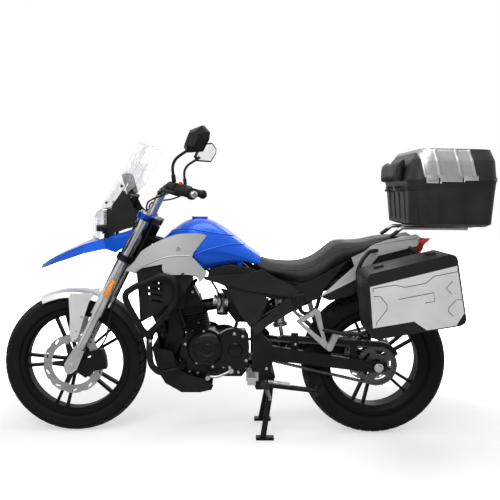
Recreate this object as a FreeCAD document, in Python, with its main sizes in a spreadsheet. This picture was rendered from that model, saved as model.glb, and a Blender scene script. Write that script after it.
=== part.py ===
import FreeCAD, Part
import math
import os
import re
import Sketcher
from FreeCAD import Placement, Rotation, Vector

# Frame: +X forward, +Y to the rider's left, +Z up, ground at z = 0. Pieces are drawn from the point
# on the ground under the rear axle and then set back, so that the origin is under the middle of the box.

SIZES = {
    # General fits
    "contact_gap": 0.3,
    "cut_overrun": 5.0,
    "running_gap": 5.0,
    # Wheels: 17 inch rims, 100/80 in front and 130/70 behind
    "wheel_base": 1262.0,
    "bead_radius": 216.0,
    "front_tyre_radius": 296.0,
    "front_tyre_width": 100.0,
    "front_rim_width": 64.0,
    "front_rim_inner_radius": 199.0,
    "rear_tyre_radius": 307.0,
    "rear_tyre_width": 130.0,
    "rear_rim_width": 89.0,
    "rear_rim_inner_radius": 187.0,
    "rim_wall": 6.0,
    "rim_flange": 10.0,
    "rim_lip": 5.0,
    "bead_ledge": 10.0,
    "hub_radius": 31.0,
    "hub_end_radius": 25.0,
    "front_hub_width": 122.0,
    "rear_hub_width": 166.0,
    "spoke_width": 11.0,
    "spoke_depth": 24.0,
    "spoke_foot_spacing": 15.0,
    "spoke_head_spacing": 47.0,
    "spoke_pairs": 5.0,
    # Axles
    "front_axle_radius": 9.0,
    "front_axle_bore_radius": 5.0,
    "rear_axle_radius": 8.0,
    "axle_clearance": 0.3,
    "axle_nut_radius": 14.0,
    "axle_nut_length": 13.0,
    # Brake discs
    "disc_thickness": 4.5,
    "disc_arm_width": 14.0,
    "disc_arms": 5.0,
    "disc_carrier_ring": 14.0,
    "disc_scallops": 10.0,
    "disc_scallop_radius": 22.0,
    "disc_scallop_depth": 4.0,
    "disc_slot_length": 22.0,
    "disc_slot_width": 7.0,
    "front_disc_radius": 125.0,
    "front_disc_inner_radius": 91.0,
    "front_disc_plane": 56.0,
    "caliper_length": 84.0,
    "caliper_wall": 14.0,
    "caliper_slot": 9.0,
    "caliper_degrees": 170.0,
    "rear_disc_radius": 110.0,
    "rear_disc_inner_radius": 80.0,
    "rear_disc_plane": 76.0,
    # Chain drive, 12.7 mm pitch
    "chain_pitch": 12.7,
    "chain_plane": 78.0,
    "rear_teeth": 40.0,
    "drive_teeth": 14.0,
    "tooth_height": 4.0,
    "sprocket_thickness": 7.0,
    "sprocket_ring": 14.0,
    "chain_plate_height": 11.8,
    "chain_plate_gap": 8.6,
    "chain_plate_thickness": 2.8,
    "roller_radius": 4.2,
    "drive_sprocket_x": 590.0,
    "drive_sprocket_z": 385.0,
    # Swingarm
    "swingarm_pivot_x": 470.0,
    "swingarm_pivot_z": 365.0,
    "swingarm_inner_half": 92.0,
    "swingarm_wall": 24.0,
    "swingarm_front_height": 60.0,
    "swingarm_rear_height": 44.0,
    "swingarm_tail": 36.0,
    "swingarm_pivot_radius": 23.0,
    "swingarm_brace_x": 388.0,
    "swingarm_brace_length": 30.0,
    "swingarm_brace_height": 36.0,
    "pivot_bolt_radius": 9.0,
    "guard_thickness": 4.0,
    "shock_ear_height": 36.0,
    "shock_eye_half": 14.0,
    "shock_eye_radius": 13.0,
    "shock_body_radius": 20.0,
    "shock_spring_radius": 31.0,
    "shock_wire_radius": 5.0,
    "shock_coils": 9.0,
    # Steering geometry, with pieces measured up the fork from the front axle
    "rake_degrees": 26.0,
    "fork_offset": 35.0,
    "fork_half_spacing": 92.0,
    "fork_outer_radius": 26.0,
    "fork_inner_radius": 19.0,
    "fork_outer_low": 237.0,
    "fork_top": 706.0,
    "fork_foot_low": 24.0,
    "fork_foot_high": 82.0,
    "fork_foot_width": 40.0,
    "fork_foot_depth": 56.0,
    "lower_clamp_low": 486.0,
    "upper_clamp_low": 672.0,
    "clamp_thickness": 26.0,
    "clamp_collar": 7.0,
    "clamp_waist": 24.0,
    "stem_radius": 14.0,
    "stem_bore_radius": 8.0,
    "head_radius": 30.0,
    "bearing_gap": 0.5,
    # Handlebar and what it carries
    "bar_radius": 11.1,
    "bar_centre_x": 903.0,
    "bar_centre_z": 1010.0,
    "bar_bend_half": 95.0,
    "bar_rise_x": 862.0,
    "bar_rise_z": 1034.0,
    "bar_rise_half": 215.0,
    "bar_end_x": 752.0,
    "bar_end_z": 1006.0,
    "bar_end_half": 405.0,
    "bar_bend_radius": 60.0,
    "riser_radius": 14.0,
    "riser_half": 34.0,
    "grip_radius": 17.0,
    "grip_length": 122.0,
    "switch_radius": 24.0,
    "switch_length": 62.0,
    "lever_radius": 6.0,
    "lever_reach": 62.0,
    "mirror_stem_radius": 5.5,
    "cable_radius": 3.5,
    "mirror_width": 150.0,
    "mirror_height": 92.0,
    "mirror_depth": 30.0,
    "mirror_x": 748.0,
    "mirror_z": 1205.0,
    "mirror_half": 352.0,
    "mirror_turn_degrees": 38.0,
    # Frame tubes
    "main_tube_radius": 16.0,
    "down_tube_radius": 18.0,
    "rail_tube_radius": 12.0,
    "frame_bend_radius": 80.0,
    "pivot_plate_inner": 117.5,
    "pivot_plate_thickness": 9.0,
    # Engine
    "crank_x": 712.0,
    "crank_z": 378.0,
    "engine_front_x": 818.0,
    "engine_rear_x": 532.0,
    "engine_low_z": 250.0,
    "engine_deck_z": 431.0,
    "engine_left_half": 66.0,
    "engine_right_half": 92.0,
    "flywheel_cover_radius": 76.0,
    "flywheel_cover_half": 136.0,
    "flywheel_housing_depth": 36.0,
    "cover_bead_radius": 3.0,
    "clutch_cover_radius": 88.0,
    "clutch_cover_x": 640.0,
    "clutch_cover_z": 352.0,
    "clutch_cover_half": 130.0,
    "sprocket_cover_inner": 90.0,
    "sprocket_cover_outer": 116.0,
    "cylinder_lean_degrees": 14.0,
    "cylinder_x": 752.0,
    "fin_width": 116.0,
    "fin_thickness": 3.0,
    "fin_pitch": 9.0,
    "barrel_fins": 8.0,
    "barrel_core_radius": 42.0,
    "barrel_height": 76.0,
    "head_height": 70.0,
    "head_width": 96.0,
    "head_cover_height": 46.0,
    "head_fins": 4.0,
    "carburettor_radius": 26.0,
    # Exhaust
    "header_radius": 17.0,
    "header_bend_radius": 70.0,
    "silencer_radius": 46.0,
    "silencer_length": 390.0,
    "silencer_front_x": 372.0,
    "silencer_front_z": 288.0,
    "silencer_half": 186.0,
    "silencer_rise_degrees": 12.0,
    "silencer_cone_length": 46.0,
    # Crash bars
    "crash_bar_radius": 12.5,
    "crash_bar_bend_radius": 45.0,
    # Belly pan
    "belly_front_x": 930.0,
    "belly_length": 252.0,
    "belly_low_z": 194.0,
    "belly_height": 187.0,
    "belly_half": 112.0,
    "belly_wall": 4.0,
    # Tank, drawn over its length and height
    "tank_front_x": 909.0,
    "tank_length": 418.0,
    "tank_low_z": 692.0,
    "tank_height": 215.0,
    "tank_half": 152.0,
    "tank_tunnel_half": 104.0,
    "tank_tunnel_z": 792.0,
    "filler_radius": 34.0,
    "filler_height": 7.0,
    "filler_x": 745.0,
    # Shrouds beside the tank
    "shroud_rear_x": 700.0,
    "shroud_length": 330.0,
    "shroud_low_z": 657.0,
    "shroud_height": 198.0,
    "shroud_half": 192.0,
    "shroud_front_half": 172.0,
    "shroud_lean_degrees": 8.0,
    "panel_thickness": 5.0,
    "boss_radius": 9.0,
    # Black side cowls under the shrouds
    "side_cowl_rear_x": 757.0,
    "side_cowl_length": 230.0,
    "side_cowl_low_z": 491.0,
    "side_cowl_height": 238.0,
    "side_cowl_half": 166.0,
    "slat_count": 4.0,
    "slat_height": 9.0,
    "slat_pitch": 24.0,
    "slat_length": 58.0,
    # Rider's and passenger's seat
    "seat_rear_x": -93.0,
    "seat_lap": 66.0,
    "seat_low_z": 648.0,
    "seat_height": 200.0,
    "seat_half": 142.0,
    # Tail
    "tail_rear_x": -180.0,
    "tail_length": 430.0,
    "tail_low_z": 583.0,
    "tail_height": 273.0,
    "tail_front_half": 128.0,
    "tail_rear_half": 76.0,
    "tail_lower_inset": 5.0,
    "lamp_rear_x": -214.0,
    "lamp_length": 74.0,
    "lamp_low_z": 752.0,
    "lamp_height": 88.0,
    "lamp_half": 62.0,
    "rear_indicator_x": -130.0,
    "rear_indicator_z": 753.0,
    "rear_indicator_half": 150.0,
    "indicator_length": 46.0,
    "indicator_radius": 15.0,
    "indicator_stem_radius": 6.0,
    "mudguard_rear_x": -352.0,
    "mudguard_rear_z": 500.0,
    "mudguard_half": 70.0,
    "mudguard_wall": 4.0,
    # Side covers and grey frame beams
    "airbox_rear_x": 459.0,
    "airbox_length": 184.0,
    "airbox_low_z": 474.0,
    "airbox_height": 180.0,
    "airbox_half": 127.0,
    "spar_rear_x": 333.0,
    "spar_length": 389.0,
    "spar_low_z": 596.0,
    "spar_height": 112.0,
    "spar_half": 148.0,
    "spar_thickness": 22.0,
    "spar_cap_radius": 17.0,
    # Top case, its plate and the luggage racks
    "case_front_x": -62.0,
    "case_length": 372.0,
    "case_low_z": 893.0,
    "case_height": 304.0,
    "case_half": 236.0,
    "case_wall": 4.0,
    "case_flange": 3.0,
    "case_corner_radius": 60.0,
    "case_seam_z": 1042.0,
    "case_seam_rise_degrees": 6.0,
    "case_seam_gap": 1.0,
    "case_hinge_radius": 6.0,
    "case_knuckle_half": 50.0,
    "case_knuckle_length": 50.0,
    "pad_thickness": 32.0,
    "pad_half": 150.0,
    "pad_low_z": 1062.0,
    "pad_height": 100.0,
    "plate_length": 250.0,
    "plate_half": 110.0,
    "plate_thickness": 7.0,
    "rack_tube_radius": 8.0,
    "rack_bend_radius": 40.0,
    # Panniers
    "pannier_front_x": 122.0,
    "pannier_length": 372.0,
    "pannier_low_z": 486.0,
    "pannier_height": 324.0,
    "pannier_inner_half": 215.0,
    "pannier_seam_half": 322.0,
    "pannier_outer_half": 430.0,
    "pannier_wall": 4.0,
    "pannier_plate_height": 4.0,
    "pannier_band_height": 46.0,
    "pannier_seam_gap": 1.0,
    "pannier_corner_radius": 26.0,
    "pannier_hinge_radius": 5.0,
    "latch_width": 34.0,
    "latch_reach": 15.0,
    "latch_height": 8.0,
    # Front cowl, headlamp, screen and beak
    "stay_tube_radius": 8.0,
    "stay_z": 808.0,
    "stay_front_x": 1112.0,
    "cowl_rear_x": 990.0,
    "cowl_length": 140.0,
    "cowl_low_z": 842.0,
    "cowl_height": 174.0,
    "cowl_half": 128.0,
    "cowl_thickness": 4.0,
    "headlamp_rear_x": 1112.0,
    "headlamp_length": 76.0,
    "headlamp_low_z": 815.0,
    "headlamp_height": 131.0,
    "headlamp_half": 104.0,
    "screen_thickness": 4.0,
    "screen_low_z": 926.0,
    "screen_height": 287.0,
    "screen_front_x": 1170.0,
    "screen_length": 168.0,
    "screen_low_half": 118.0,
    "screen_high_half": 92.0,
    "screen_low_wrap": 72.0,
    "screen_high_wrap": 62.0,
    "beak_rear_x": 1110.0,
    "beak_length": 290.0,
    "beak_low_z": 707.0,
    "beak_height": 132.0,
    "beak_half": 140.0,
    "beak_wall": 3.0,
    "instrument_x": 1012.0,
    "instrument_z": 1010.0,
    "instrument_half": 62.0,
    "instrument_depth": 26.0,
    "instrument_height": 78.0,
    "front_indicator_x": 1118.0,
    "front_indicator_z": 868.0,
    "front_indicator_half": 176.0,
    # Front mudguard
    "mudguard_gap": 11.0,
    "mudguard_shell": 3.5,
    "mudguard_outer_half": 68.0,
    "mudguard_flange": 26.0,
    "mudguard_front_degrees": 64.0,
    "mudguard_back_degrees": 160.0,
    # Pegs, stands and small controls
    "peg_length": 84.0,
    "peg_radius": 12.0,
    "peg_ribs": 5.0,
    "peg_fold_degrees": 25.0,
    "rider_peg_x": 528.0,
    "rider_peg_z": 268.0,
    "passenger_peg_x": 210.0,
    "passenger_peg_z": 396.0,
    "hanger_half": 132.0,
    "hanger_thickness": 12.0,
    "side_stand_x": 470.0,
    "side_stand_z": 240.0,
    "side_stand_half": 150.0,
    "side_stand_radius": 10.0,
    "side_stand_length": 222.0,
    "side_stand_eye_half": 10.0,
    "stand_bolt_radius": 6.0,
    "side_stand_lug_length": 34.0,
    "side_stand_spread": 17.0,
    "side_stand_drop": 20.0,
    "centre_stand_x": 436.0,
    "centre_stand_z": 262.0,
    "centre_stand_half": 84.0,
    "centre_stand_tube_radius": 12.0,
    "centre_stand_foot_half": 118.0,
    "centre_stand_shoe_half": 16.0,
    "centre_stand_lead": 34.0,
    "stand_side_gap": 4.0,
    "stand_ear_thickness": 8.0,
}

doc = FreeCAD.newDocument("adventure_motorcycle")
sheet = doc.addObject("Spreadsheet::Sheet", "sizes")
for row, (alias, amount) in enumerate(SIZES.items(), start=1):
    sheet.set(f"A{row}", alias)
    sheet.set(f"B{row}", str(amount))
    sheet.setAlias(f"B{row}", alias)
doc.recompute()


class SheetSizes:
    """Reads a named size from the sheet."""

    def __getattr__(self, alias):
        return float(sheet.get(alias))


mm = SheetSizes()


def linked(formula):
    """Points every named size in a formula at the sheet."""
    return re.sub(r"[a-z]\w+", lambda name: "sizes." + name[0], formula)


def amount_of(formula):
    return float(sheet.evalExpression(linked(formula)))


def origin_plane(body, role):
    return next(plane for plane in body.Origin.OriginFeatures if plane.Role == role)


def new_body(label, placement=None):
    body = doc.addObject("PartDesign::Body", label)
    body.Label = label
    if placement is not None:
        body.Placement = placement
    return body


def new_sketch(body, role, offset="0"):
    sketch = body.newObject("Sketcher::SketchObject", "outline")
    sketch.AttachmentSupport = [(origin_plane(body, role), "")]
    sketch.MapMode = "FlatFace"
    if offset != "0":
        sketch.setExpression("AttachmentOffset.Base.z", linked(offset))
    return sketch


def add_polygon(sketch, corners):
    """Adds a closed polygon whose corners are pairs of formulas in named sizes."""
    first = sketch.GeometryCount
    places = [(amount_of(across), amount_of(up)) for across, up in corners]
    count = len(places)
    for index, place in enumerate(places):
        following = places[(index + 1) % count]
        sketch.addGeometry(Part.LineSegment(Vector(*place, 0), Vector(*following, 0)), False)
    for index in range(count):
        following = first + (index + 1) % count
        sketch.addConstraint(Sketcher.Constraint("Coincident", first + index, 2, following, 1))
    for index, (place, corner) in enumerate(zip(places, corners)):
        for kind, amount, formula in zip(("DistanceX", "DistanceY"), place, corner):
            number = sketch.addConstraint(Sketcher.Constraint(kind, first + index, 1, amount))
            sketch.setExpression(f"Constraints[{number}]", linked(formula))


def add_circle(sketch, across, up, radius):
    """Adds a circle whose centre and radius are formulas in named sizes."""
    index = sketch.GeometryCount
    centre = Vector(amount_of(across), amount_of(up), 0)
    sketch.addGeometry(Part.Circle(centre, Vector(0, 0, 1), amount_of(radius)), False)
    held = (("DistanceX", centre.x, across), ("DistanceY", centre.y, up))
    for kind, amount, formula in held:
        number = sketch.addConstraint(Sketcher.Constraint(kind, index, 3, amount))
        sketch.setExpression(f"Constraints[{number}]", linked(formula))
    number = sketch.addConstraint(Sketcher.Constraint("Radius", index, amount_of(radius)))
    sketch.setExpression(f"Constraints[{number}]", linked(radius))


def pad(body, sketch, length):
    """A pad of a length given by a formula, half to each side of its sketch."""
    feature = body.newObject("PartDesign::Pad", "pad")
    feature.Profile = sketch
    feature.Midplane = True
    feature.setExpression("Length", linked(length))
    doc.recompute()
    return feature


def pocket(body, sketch):
    """A cut through everything, to both sides of its sketch."""
    feature = body.newObject("PartDesign::Pocket", "pocket")
    feature.Profile = sketch
    feature.Midplane = True
    feature.Type = "ThroughAll"
    doc.recompute()
    return feature


def revolve(body, sketch):
    feature = body.newObject("PartDesign::Revolution", "turning")
    feature.Profile = sketch
    feature.ReferenceAxis = (sketch, ["V_Axis"])
    feature.Angle = 360
    doc.recompute()
    return feature


def repeat_round(body, feature, sketch, count):
    pattern = body.newObject("PartDesign::PolarPattern", "ring")
    pattern.Originals = [feature]
    pattern.Axis = (sketch, ["N_Axis"])
    pattern.Angle = 360
    pattern.setExpression("Occurrences", linked(count))
    body.Tip = pattern
    doc.recompute()
    return pattern


# Where things stand
origin_x = (mm.wheel_base + mm.front_tyre_radius + mm.case_front_x - mm.case_length - mm.latch_height) / 2
setback = Placement(Vector(-origin_x, 0, 0), Rotation())
rear_hub = Placement(Vector(-origin_x, 0, mm.rear_tyre_radius), Rotation())
front_hub = Placement(Vector(mm.wheel_base - origin_x, 0, mm.front_tyre_radius), Rotation())
fork_frame = Placement(front_hub.Base, Rotation(Vector(0, 1, 0), -mm.rake_degrees))


def beside(placement, across):
    return placement.multiply(Placement(Vector(0, across, 0), Rotation()))


# Outlines: a point is a straight edge to it, a list of two points an arc and a longer list a smooth curve


def outline_wire(outline, lift):
    """A closed wire through an outline of pairs, placed in space by the function lift."""
    at = lift(*outline[0])
    start = at
    edges = []
    for stretch in list(outline[1:]) + [outline[0]]:
        points = [stretch] if isinstance(stretch, tuple) else stretch
        points = [lift(*point) for point in points]
        if points[-1].distanceToPoint(at) < 1e-6:
            continue
        if len(points) == 1:
            edges.append(Part.makeLine(at, points[0]))
        elif len(points) == 2:
            edges.append(Part.Arc(at, points[0], points[1]).toShape())
        else:
            curve = Part.BSplineCurve()
            curve.interpolate([at] + points)
            edges.append(curve.toShape())
        at = points[-1]
    return Part.Wire(edges), start


def prism(outline, across, low, high):
    """A solid with an outline seen along one axis: (x, z) along y, (x, y) along z, (y, z) along x."""
    lifts = {
        "x": lambda first, second: Vector(low, first, second),
        "y": lambda first, second: Vector(first, low, second),
        "z": lambda first, second: Vector(first, second, low),
    }
    along = {"x": Vector(1, 0, 0), "y": Vector(0, 1, 0), "z": Vector(0, 0, 1)}
    wire, _ = outline_wire(outline, lifts[across])
    return Part.Face(wire).extrude(along[across] * (high - low))


def spread(shares, start_across, length, start_up, height):
    """Turns shares of a length and a height into places."""
    def place(share):
        return start_across + share[0] * length, start_up + share[1] * height
    return [
        place(item) if isinstance(item, tuple) else [place(share) for share in item] for item in shares
    ]


def tube(points, radius, bend_radius, wall=None):
    """A round tube along straight runs joined by tangent arcs."""
    points = [Vector(*point) for point in points]
    edges = []
    at = points[0]
    for before, corner, after in zip(points, points[1:], points[2:]):
        inward = (before - corner).normalize()
        outward = (after - corner).normalize()
        turn = math.pi - inward.getAngle(outward)
        if turn < math.radians(1):
            continue
        shorter = min((before - corner).Length, (after - corner).Length)
        bend = min(bend_radius, 0.45 * shorter / math.tan(turn / 2))
        reach = bend * math.tan(turn / 2)
        middle = (inward + outward).normalize()
        inner = corner + middle * (bend / math.cos(turn / 2) - bend)
        enter = corner + inward * reach
        leave = corner + outward * reach
        edges.append(Part.makeLine(at, enter))
        edges.append(Part.Arc(enter, inner, leave).toShape())
        at = leave
    edges.append(Part.makeLine(at, points[-1]))
    spine = Part.Wire(edges)
    heading = (points[1] - points[0]).normalize()
    section = Part.Wire(Part.makeCircle(radius, points[0], heading))
    solid = spine.makePipeShell([section], True, False)
    if wall is not None:
        hollow = Part.Wire(Part.makeCircle(radius - wall, points[0], heading))
        solid = solid.cut(spine.makePipeShell([hollow], True, False))
    return solid


def rod(start, end, radius):
    start = Vector(*start)
    end = Vector(*end)
    return Part.makeCylinder(radius, (end - start).Length, start, end - start)


def base_points(shares):
    """Places in the bike's own frame, from shares of the wheel base: ahead, to the left and up."""
    return [Vector(*share) * mm.wheel_base for share in shares]


def base_outline(shares):
    """A side outline in the bike's own frame, from shares of the wheel base."""
    return spread(shares, 0, mm.wheel_base, 0, mm.wheel_base)


def beside_points(shares, half):
    """Places whose sideways shares are of a half width, the others of the wheel base."""
    return [Vector(ahead * mm.wheel_base, side * half, up * mm.wheel_base) for ahead, side, up in shares]


def cross_rod(x, half, z, radius):
    """A rod straight across the bike."""
    return rod((x, -half, z), (x, half, z), radius)


def box(x_range, y_range, z_range):
    """A block between two places on each axis."""
    low = Vector(min(x_range), min(y_range), min(z_range))
    high = Vector(max(x_range), max(y_range), max(z_range))
    size = high - low
    return Part.makeBox(size.x, size.y, size.z, low)


def mirrored(shape):
    return shape.mirror(Vector(0, 0, 0), Vector(0, 1, 0))


def fused(*shapes):
    solid = shapes[0].multiFuse(list(shapes[1:])) if len(shapes) > 1 else shapes[0]
    return solid.removeSplitter()


def pair(shape):
    """A piece and its twin on the other side, as solids that don't touch."""
    return Part.makeCompound(shape.Solids + mirrored(shape).Solids)


def across_ring(x, half, low, high, ring_shares):
    """A smooth closed section across the bike from shares of its half width and height."""
    right = [Vector(x, -half * side, low + (high - low) * up) for side, up in ring_shares]
    left = [Vector(point.x, -point.y, point.z) for point in reversed(right) if abs(point.y) > 1e-6]
    curve = Part.BSplineCurve()
    curve.interpolate(Points=right + left, PeriodicFlag=True)
    return Part.Wire([curve.toShape()])


def rounded_ring(z, x_low, x_high, half, radius):
    """A level rectangle with round corners, as a wire."""
    diagonal = radius * (1 - math.sqrt(0.5))
    outline = [
        (x_low + radius, -half), (x_high - radius, -half),
        [(x_high - diagonal, -half + diagonal), (x_high, -half + radius)], (x_high, half - radius),
        [(x_high - diagonal, half - diagonal), (x_high - radius, half)], (x_low + radius, half),
        [(x_low + diagonal, half - diagonal), (x_low, half - radius)], (x_low, -half + radius),
        [(x_low + diagonal, -half + diagonal), (x_low + radius, -half)],
    ]
    return outline_wire(outline, lambda across, side: Vector(across, side, z))[0]


def whole(shape):
    """The solids of a boolean's result, as one solid or one compound."""
    solids = shape.Solids
    return solids[0] if len(solids) == 1 else Part.makeCompound(solids)


def seated(piece, *carriers):
    """A piece with feet that run into what carries it, trimmed to stand face to face on it."""
    for carrier in carriers:
        piece = piece.cut(carrier)
    return max(piece.Solids, key=lambda solid: solid.Volume)


def keep(label, shape, placement=setback):
    """Adds a finished shape to the document as a piece of its own."""
    piece = doc.addObject("Part::Feature", label)
    piece.Label = label
    piece.Shape = whole(shape)
    piece.Placement = placement.multiply(piece.Placement)
    return piece


# Tyres and rims

TYRE_CROWN_SHARES = ((0.1, 0.9), (0.42, 1.0), (0.7, 0.96), (0.88, 0.74), (0.97, 0.42), (1.0, 0.14))


def make_tyre(end, placement):
    body = new_body(f"{end}_tyre", placement)
    sketch = new_sketch(body, "XY_Plane")
    side = f"({end}_rim_width / 2 - contact_gap)"
    bore = "(bead_radius + contact_gap)"
    swell = f"({end}_tyre_radius - bead_radius)"
    left = [(bore, side), (f"{bore} + rim_flange", side)]
    for out_share, wide_share in TYRE_CROWN_SHARES[1:]:
        left.append((f"bead_radius + {swell} * {out_share}", f"{end}_tyre_width / 2 * {wide_share}"))
    right = [(out, f"0 - {wide}") for out, wide in reversed(left)]
    add_polygon(sketch, left + right)
    revolve(body, sketch)
    return body


def make_rim(end, placement):
    body = new_body(f"{end}_rim", placement)
    hub = new_sketch(body, "XY_Plane")
    bore = f"{end}_axle_radius + axle_clearance"
    half = f"{end}_hub_width / 2"
    corners = [
        (bore, f"0 - {half}"), ("hub_end_radius", f"0 - {half}"), ("hub_end_radius", "0 - spoke_depth"),
        ("hub_radius", "0 - spoke_depth"), ("hub_radius", "spoke_depth"), ("hub_end_radius", "spoke_depth"),
        ("hub_end_radius", half), (bore, half),
    ]
    add_polygon(hub, corners)
    revolve(body, hub)
    spokes = new_sketch(body, "XZ_Plane")
    inner = f"{end}_rim_inner_radius"
    for sign in ("", "0 - "):
        foot = f"spoke_foot_spacing / 2"
        head = f"spoke_head_spacing / 2"
        add_polygon(spokes, [
            ("hub_radius - spoke_width / 2", f"{sign}({foot} - spoke_width / 2)"),
            (f"{inner} + rim_wall / 2", f"{sign}({head} - spoke_width / 2)"),
            (f"{inner} + rim_wall / 2", f"{sign}({head} + spoke_width / 2)"),
            ("hub_radius - spoke_width / 2", f"{sign}({foot} + spoke_width / 2)"),
        ])
    arm = pad(body, spokes, "spoke_depth")
    repeat_round(body, arm, spokes, "spoke_pairs")
    barrel = new_sketch(body, "XY_Plane")
    edge = f"({end}_rim_width / 2)"
    left = [
        ("bead_radius + rim_flange", f"{edge} + rim_lip"), ("bead_radius + rim_flange", edge),
        ("bead_radius", edge), ("bead_radius", f"{edge} - bead_ledge"),
        (f"{inner} + rim_wall", f"{edge} - bead_ledge * 2"),
    ]
    inside = [(inner, f"{edge} - bead_ledge"), ("bead_radius - rim_wall", f"{edge} + rim_lip")]
    right = [(out, f"0 - ({wide})") for out, wide in reversed(left)]
    inside_right = [(out, f"0 - ({wide})") for out, wide in reversed(inside)]
    add_polygon(barrel, left + right + inside_right + inside)
    revolve(body, barrel)
    return body


# Brake discs and sprocket


def make_disc(label, end, placement):
    body = new_body(label, placement)
    ring = new_sketch(body, "XZ_Plane")
    add_circle(ring, "0", "0", f"{end}_disc_radius")
    add_circle(ring, "0", "0", f"{end}_disc_inner_radius")
    pad(body, ring, "disc_thickness")
    arms = new_sketch(body, "XZ_Plane")
    add_polygon(arms, [
        ("hub_radius", "0 - disc_arm_width"),
        (f"{end}_disc_inner_radius + disc_thickness", "0 - disc_arm_width / 2"),
        (f"{end}_disc_inner_radius + disc_thickness", "disc_arm_width / 2"), ("hub_radius", "disc_arm_width"),
    ])
    arm = pad(body, arms, "disc_thickness")
    repeat_round(body, arm, arms, "disc_arms")
    carrier = new_sketch(body, "XZ_Plane")
    add_circle(carrier, "0", "0", "hub_radius + disc_carrier_ring")
    add_circle(carrier, "0", "0", "hub_end_radius + contact_gap")
    pad(body, carrier, "disc_thickness")
    scallop = new_sketch(body, "XZ_Plane")
    add_circle(
        scallop, f"{end}_disc_radius - disc_scallop_depth + disc_scallop_radius", "0", "disc_scallop_radius"
    )
    wave = pocket(body, scallop)
    repeat_round(body, wave, scallop, "disc_scallops")
    slot = new_sketch(body, "XZ_Plane")
    middle = f"({end}_disc_radius + {end}_disc_inner_radius) / 2"
    add_polygon(slot, [
        (f"{middle} - disc_slot_width / 2", "disc_scallop_radius"),
        (f"{middle} + disc_slot_width / 2", "disc_scallop_radius"),
        (f"{middle} + disc_slot_width / 2", "disc_scallop_radius + disc_slot_length"),
        (f"{middle} - disc_slot_width / 2", "disc_scallop_radius + disc_slot_length"),
    ])
    gap = pocket(body, slot)
    repeat_round(body, gap, slot, "disc_scallops")
    return body


def pitch_radius(teeth):
    return mm.chain_pitch / (2 * math.sin(math.pi / teeth))


def make_rear_rotors():
    """The wheel's sprocket on the left and its brake disc on the right share a node."""
    radius = pitch_radius(mm.rear_teeth)
    root = radius - mm.roller_radius
    low = -mm.sprocket_thickness / 2
    tooth = mm.chain_pitch / 2 * 0.8
    plate = Part.makeCylinder(root, mm.sprocket_thickness, Vector(0, low, 0), Vector(0, 1, 0))
    teeth = []
    for number in range(int(mm.rear_teeth)):
        outline = [
            (root * 0.97, -tooth), (root * 0.97, tooth), (root + mm.roller_radius, tooth * 0.55),
            (root + mm.roller_radius + mm.tooth_height, tooth * 0.25),
            (root + mm.roller_radius + mm.tooth_height, -tooth * 0.25),
            (root + mm.roller_radius, -tooth * 0.55),
        ]
        bit = prism(outline, "y", low, -low)
        bit.rotate(Vector(0, 0, 0), Vector(0, 1, 0), 360 * number / mm.rear_teeth)
        teeth.append(bit)
    plate = fused(plate, *teeth)
    bore = mm.hub_end_radius + mm.contact_gap
    cuts = [Part.makeCylinder(bore, mm.sprocket_thickness, Vector(0, low, 0), Vector(0, 1, 0))]
    window_out = root - mm.sprocket_ring
    window_in = mm.hub_radius + mm.disc_carrier_ring
    for number in range(int(mm.disc_arms)):
        half_out = window_out * 0.42
        half_in = window_in * 0.3
        outline = [
            (window_in, -half_in), (window_out * 0.9, -half_out),
            [(window_out, 0), (window_out * 0.9, half_out)], (window_in, half_in),
        ]
        window = prism(outline, "y", low, -low)
        window.rotate(Vector(0, 0, 0), Vector(0, 1, 0), 360 * (number + 0.5) / mm.disc_arms)
        cuts.append(window)
    plate = plate.cut(Part.makeCompound(cuts))
    return plate


make_tyre("front", front_hub)
make_rim("front", front_hub)
make_disc("front_disc", "front", beside(front_hub, mm.front_disc_plane))
make_tyre("rear", rear_hub)
make_rim("rear", rear_hub)
make_disc("rear_disc", "rear", beside(rear_hub, -mm.rear_disc_plane))
keep("rear_sprocket", make_rear_rotors(), beside(rear_hub, mm.chain_plane))

# Steering, drawn up the fork from the front axle: z along the legs, x ahead of them


def make_clamps():
    """Both fork clamps on the steering stem."""
    spacing = mm.fork_half_spacing
    collar = mm.fork_outer_radius + mm.clamp_collar
    clamps = []
    for low in (mm.lower_clamp_low, mm.upper_clamp_low):
        clamp = box(
            (-mm.fork_offset - mm.clamp_waist, mm.clamp_waist / 2), (-spacing, spacing),
            (low, low + mm.clamp_thickness)
        )
        up = Vector(0, 0, 1)
        for side in (-spacing, spacing):
            clamp = clamp.fuse(Part.makeCylinder(collar, mm.clamp_thickness, Vector(0, side, low), up))
        hub = Part.makeCylinder(mm.head_radius, mm.clamp_thickness, Vector(-mm.fork_offset, 0, low), up)
        clamp = clamp.fuse(hub)
        for side in (-spacing, spacing):
            hole = mm.fork_outer_radius + mm.contact_gap
            clamp = clamp.cut(Part.makeCylinder(hole, mm.clamp_thickness, Vector(0, side, low), up))
        clamps.append(clamp)
    length = mm.upper_clamp_low + mm.clamp_thickness - mm.lower_clamp_low
    stem_foot = Vector(-mm.fork_offset, 0, mm.lower_clamp_low)
    stem = Part.makeCylinder(mm.stem_radius, length, stem_foot, Vector(0, 0, 1))
    bore = Part.makeCylinder(mm.stem_bore_radius, length, stem_foot, Vector(0, 0, 1))
    return fused(*clamps, stem).cut(bore)


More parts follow.
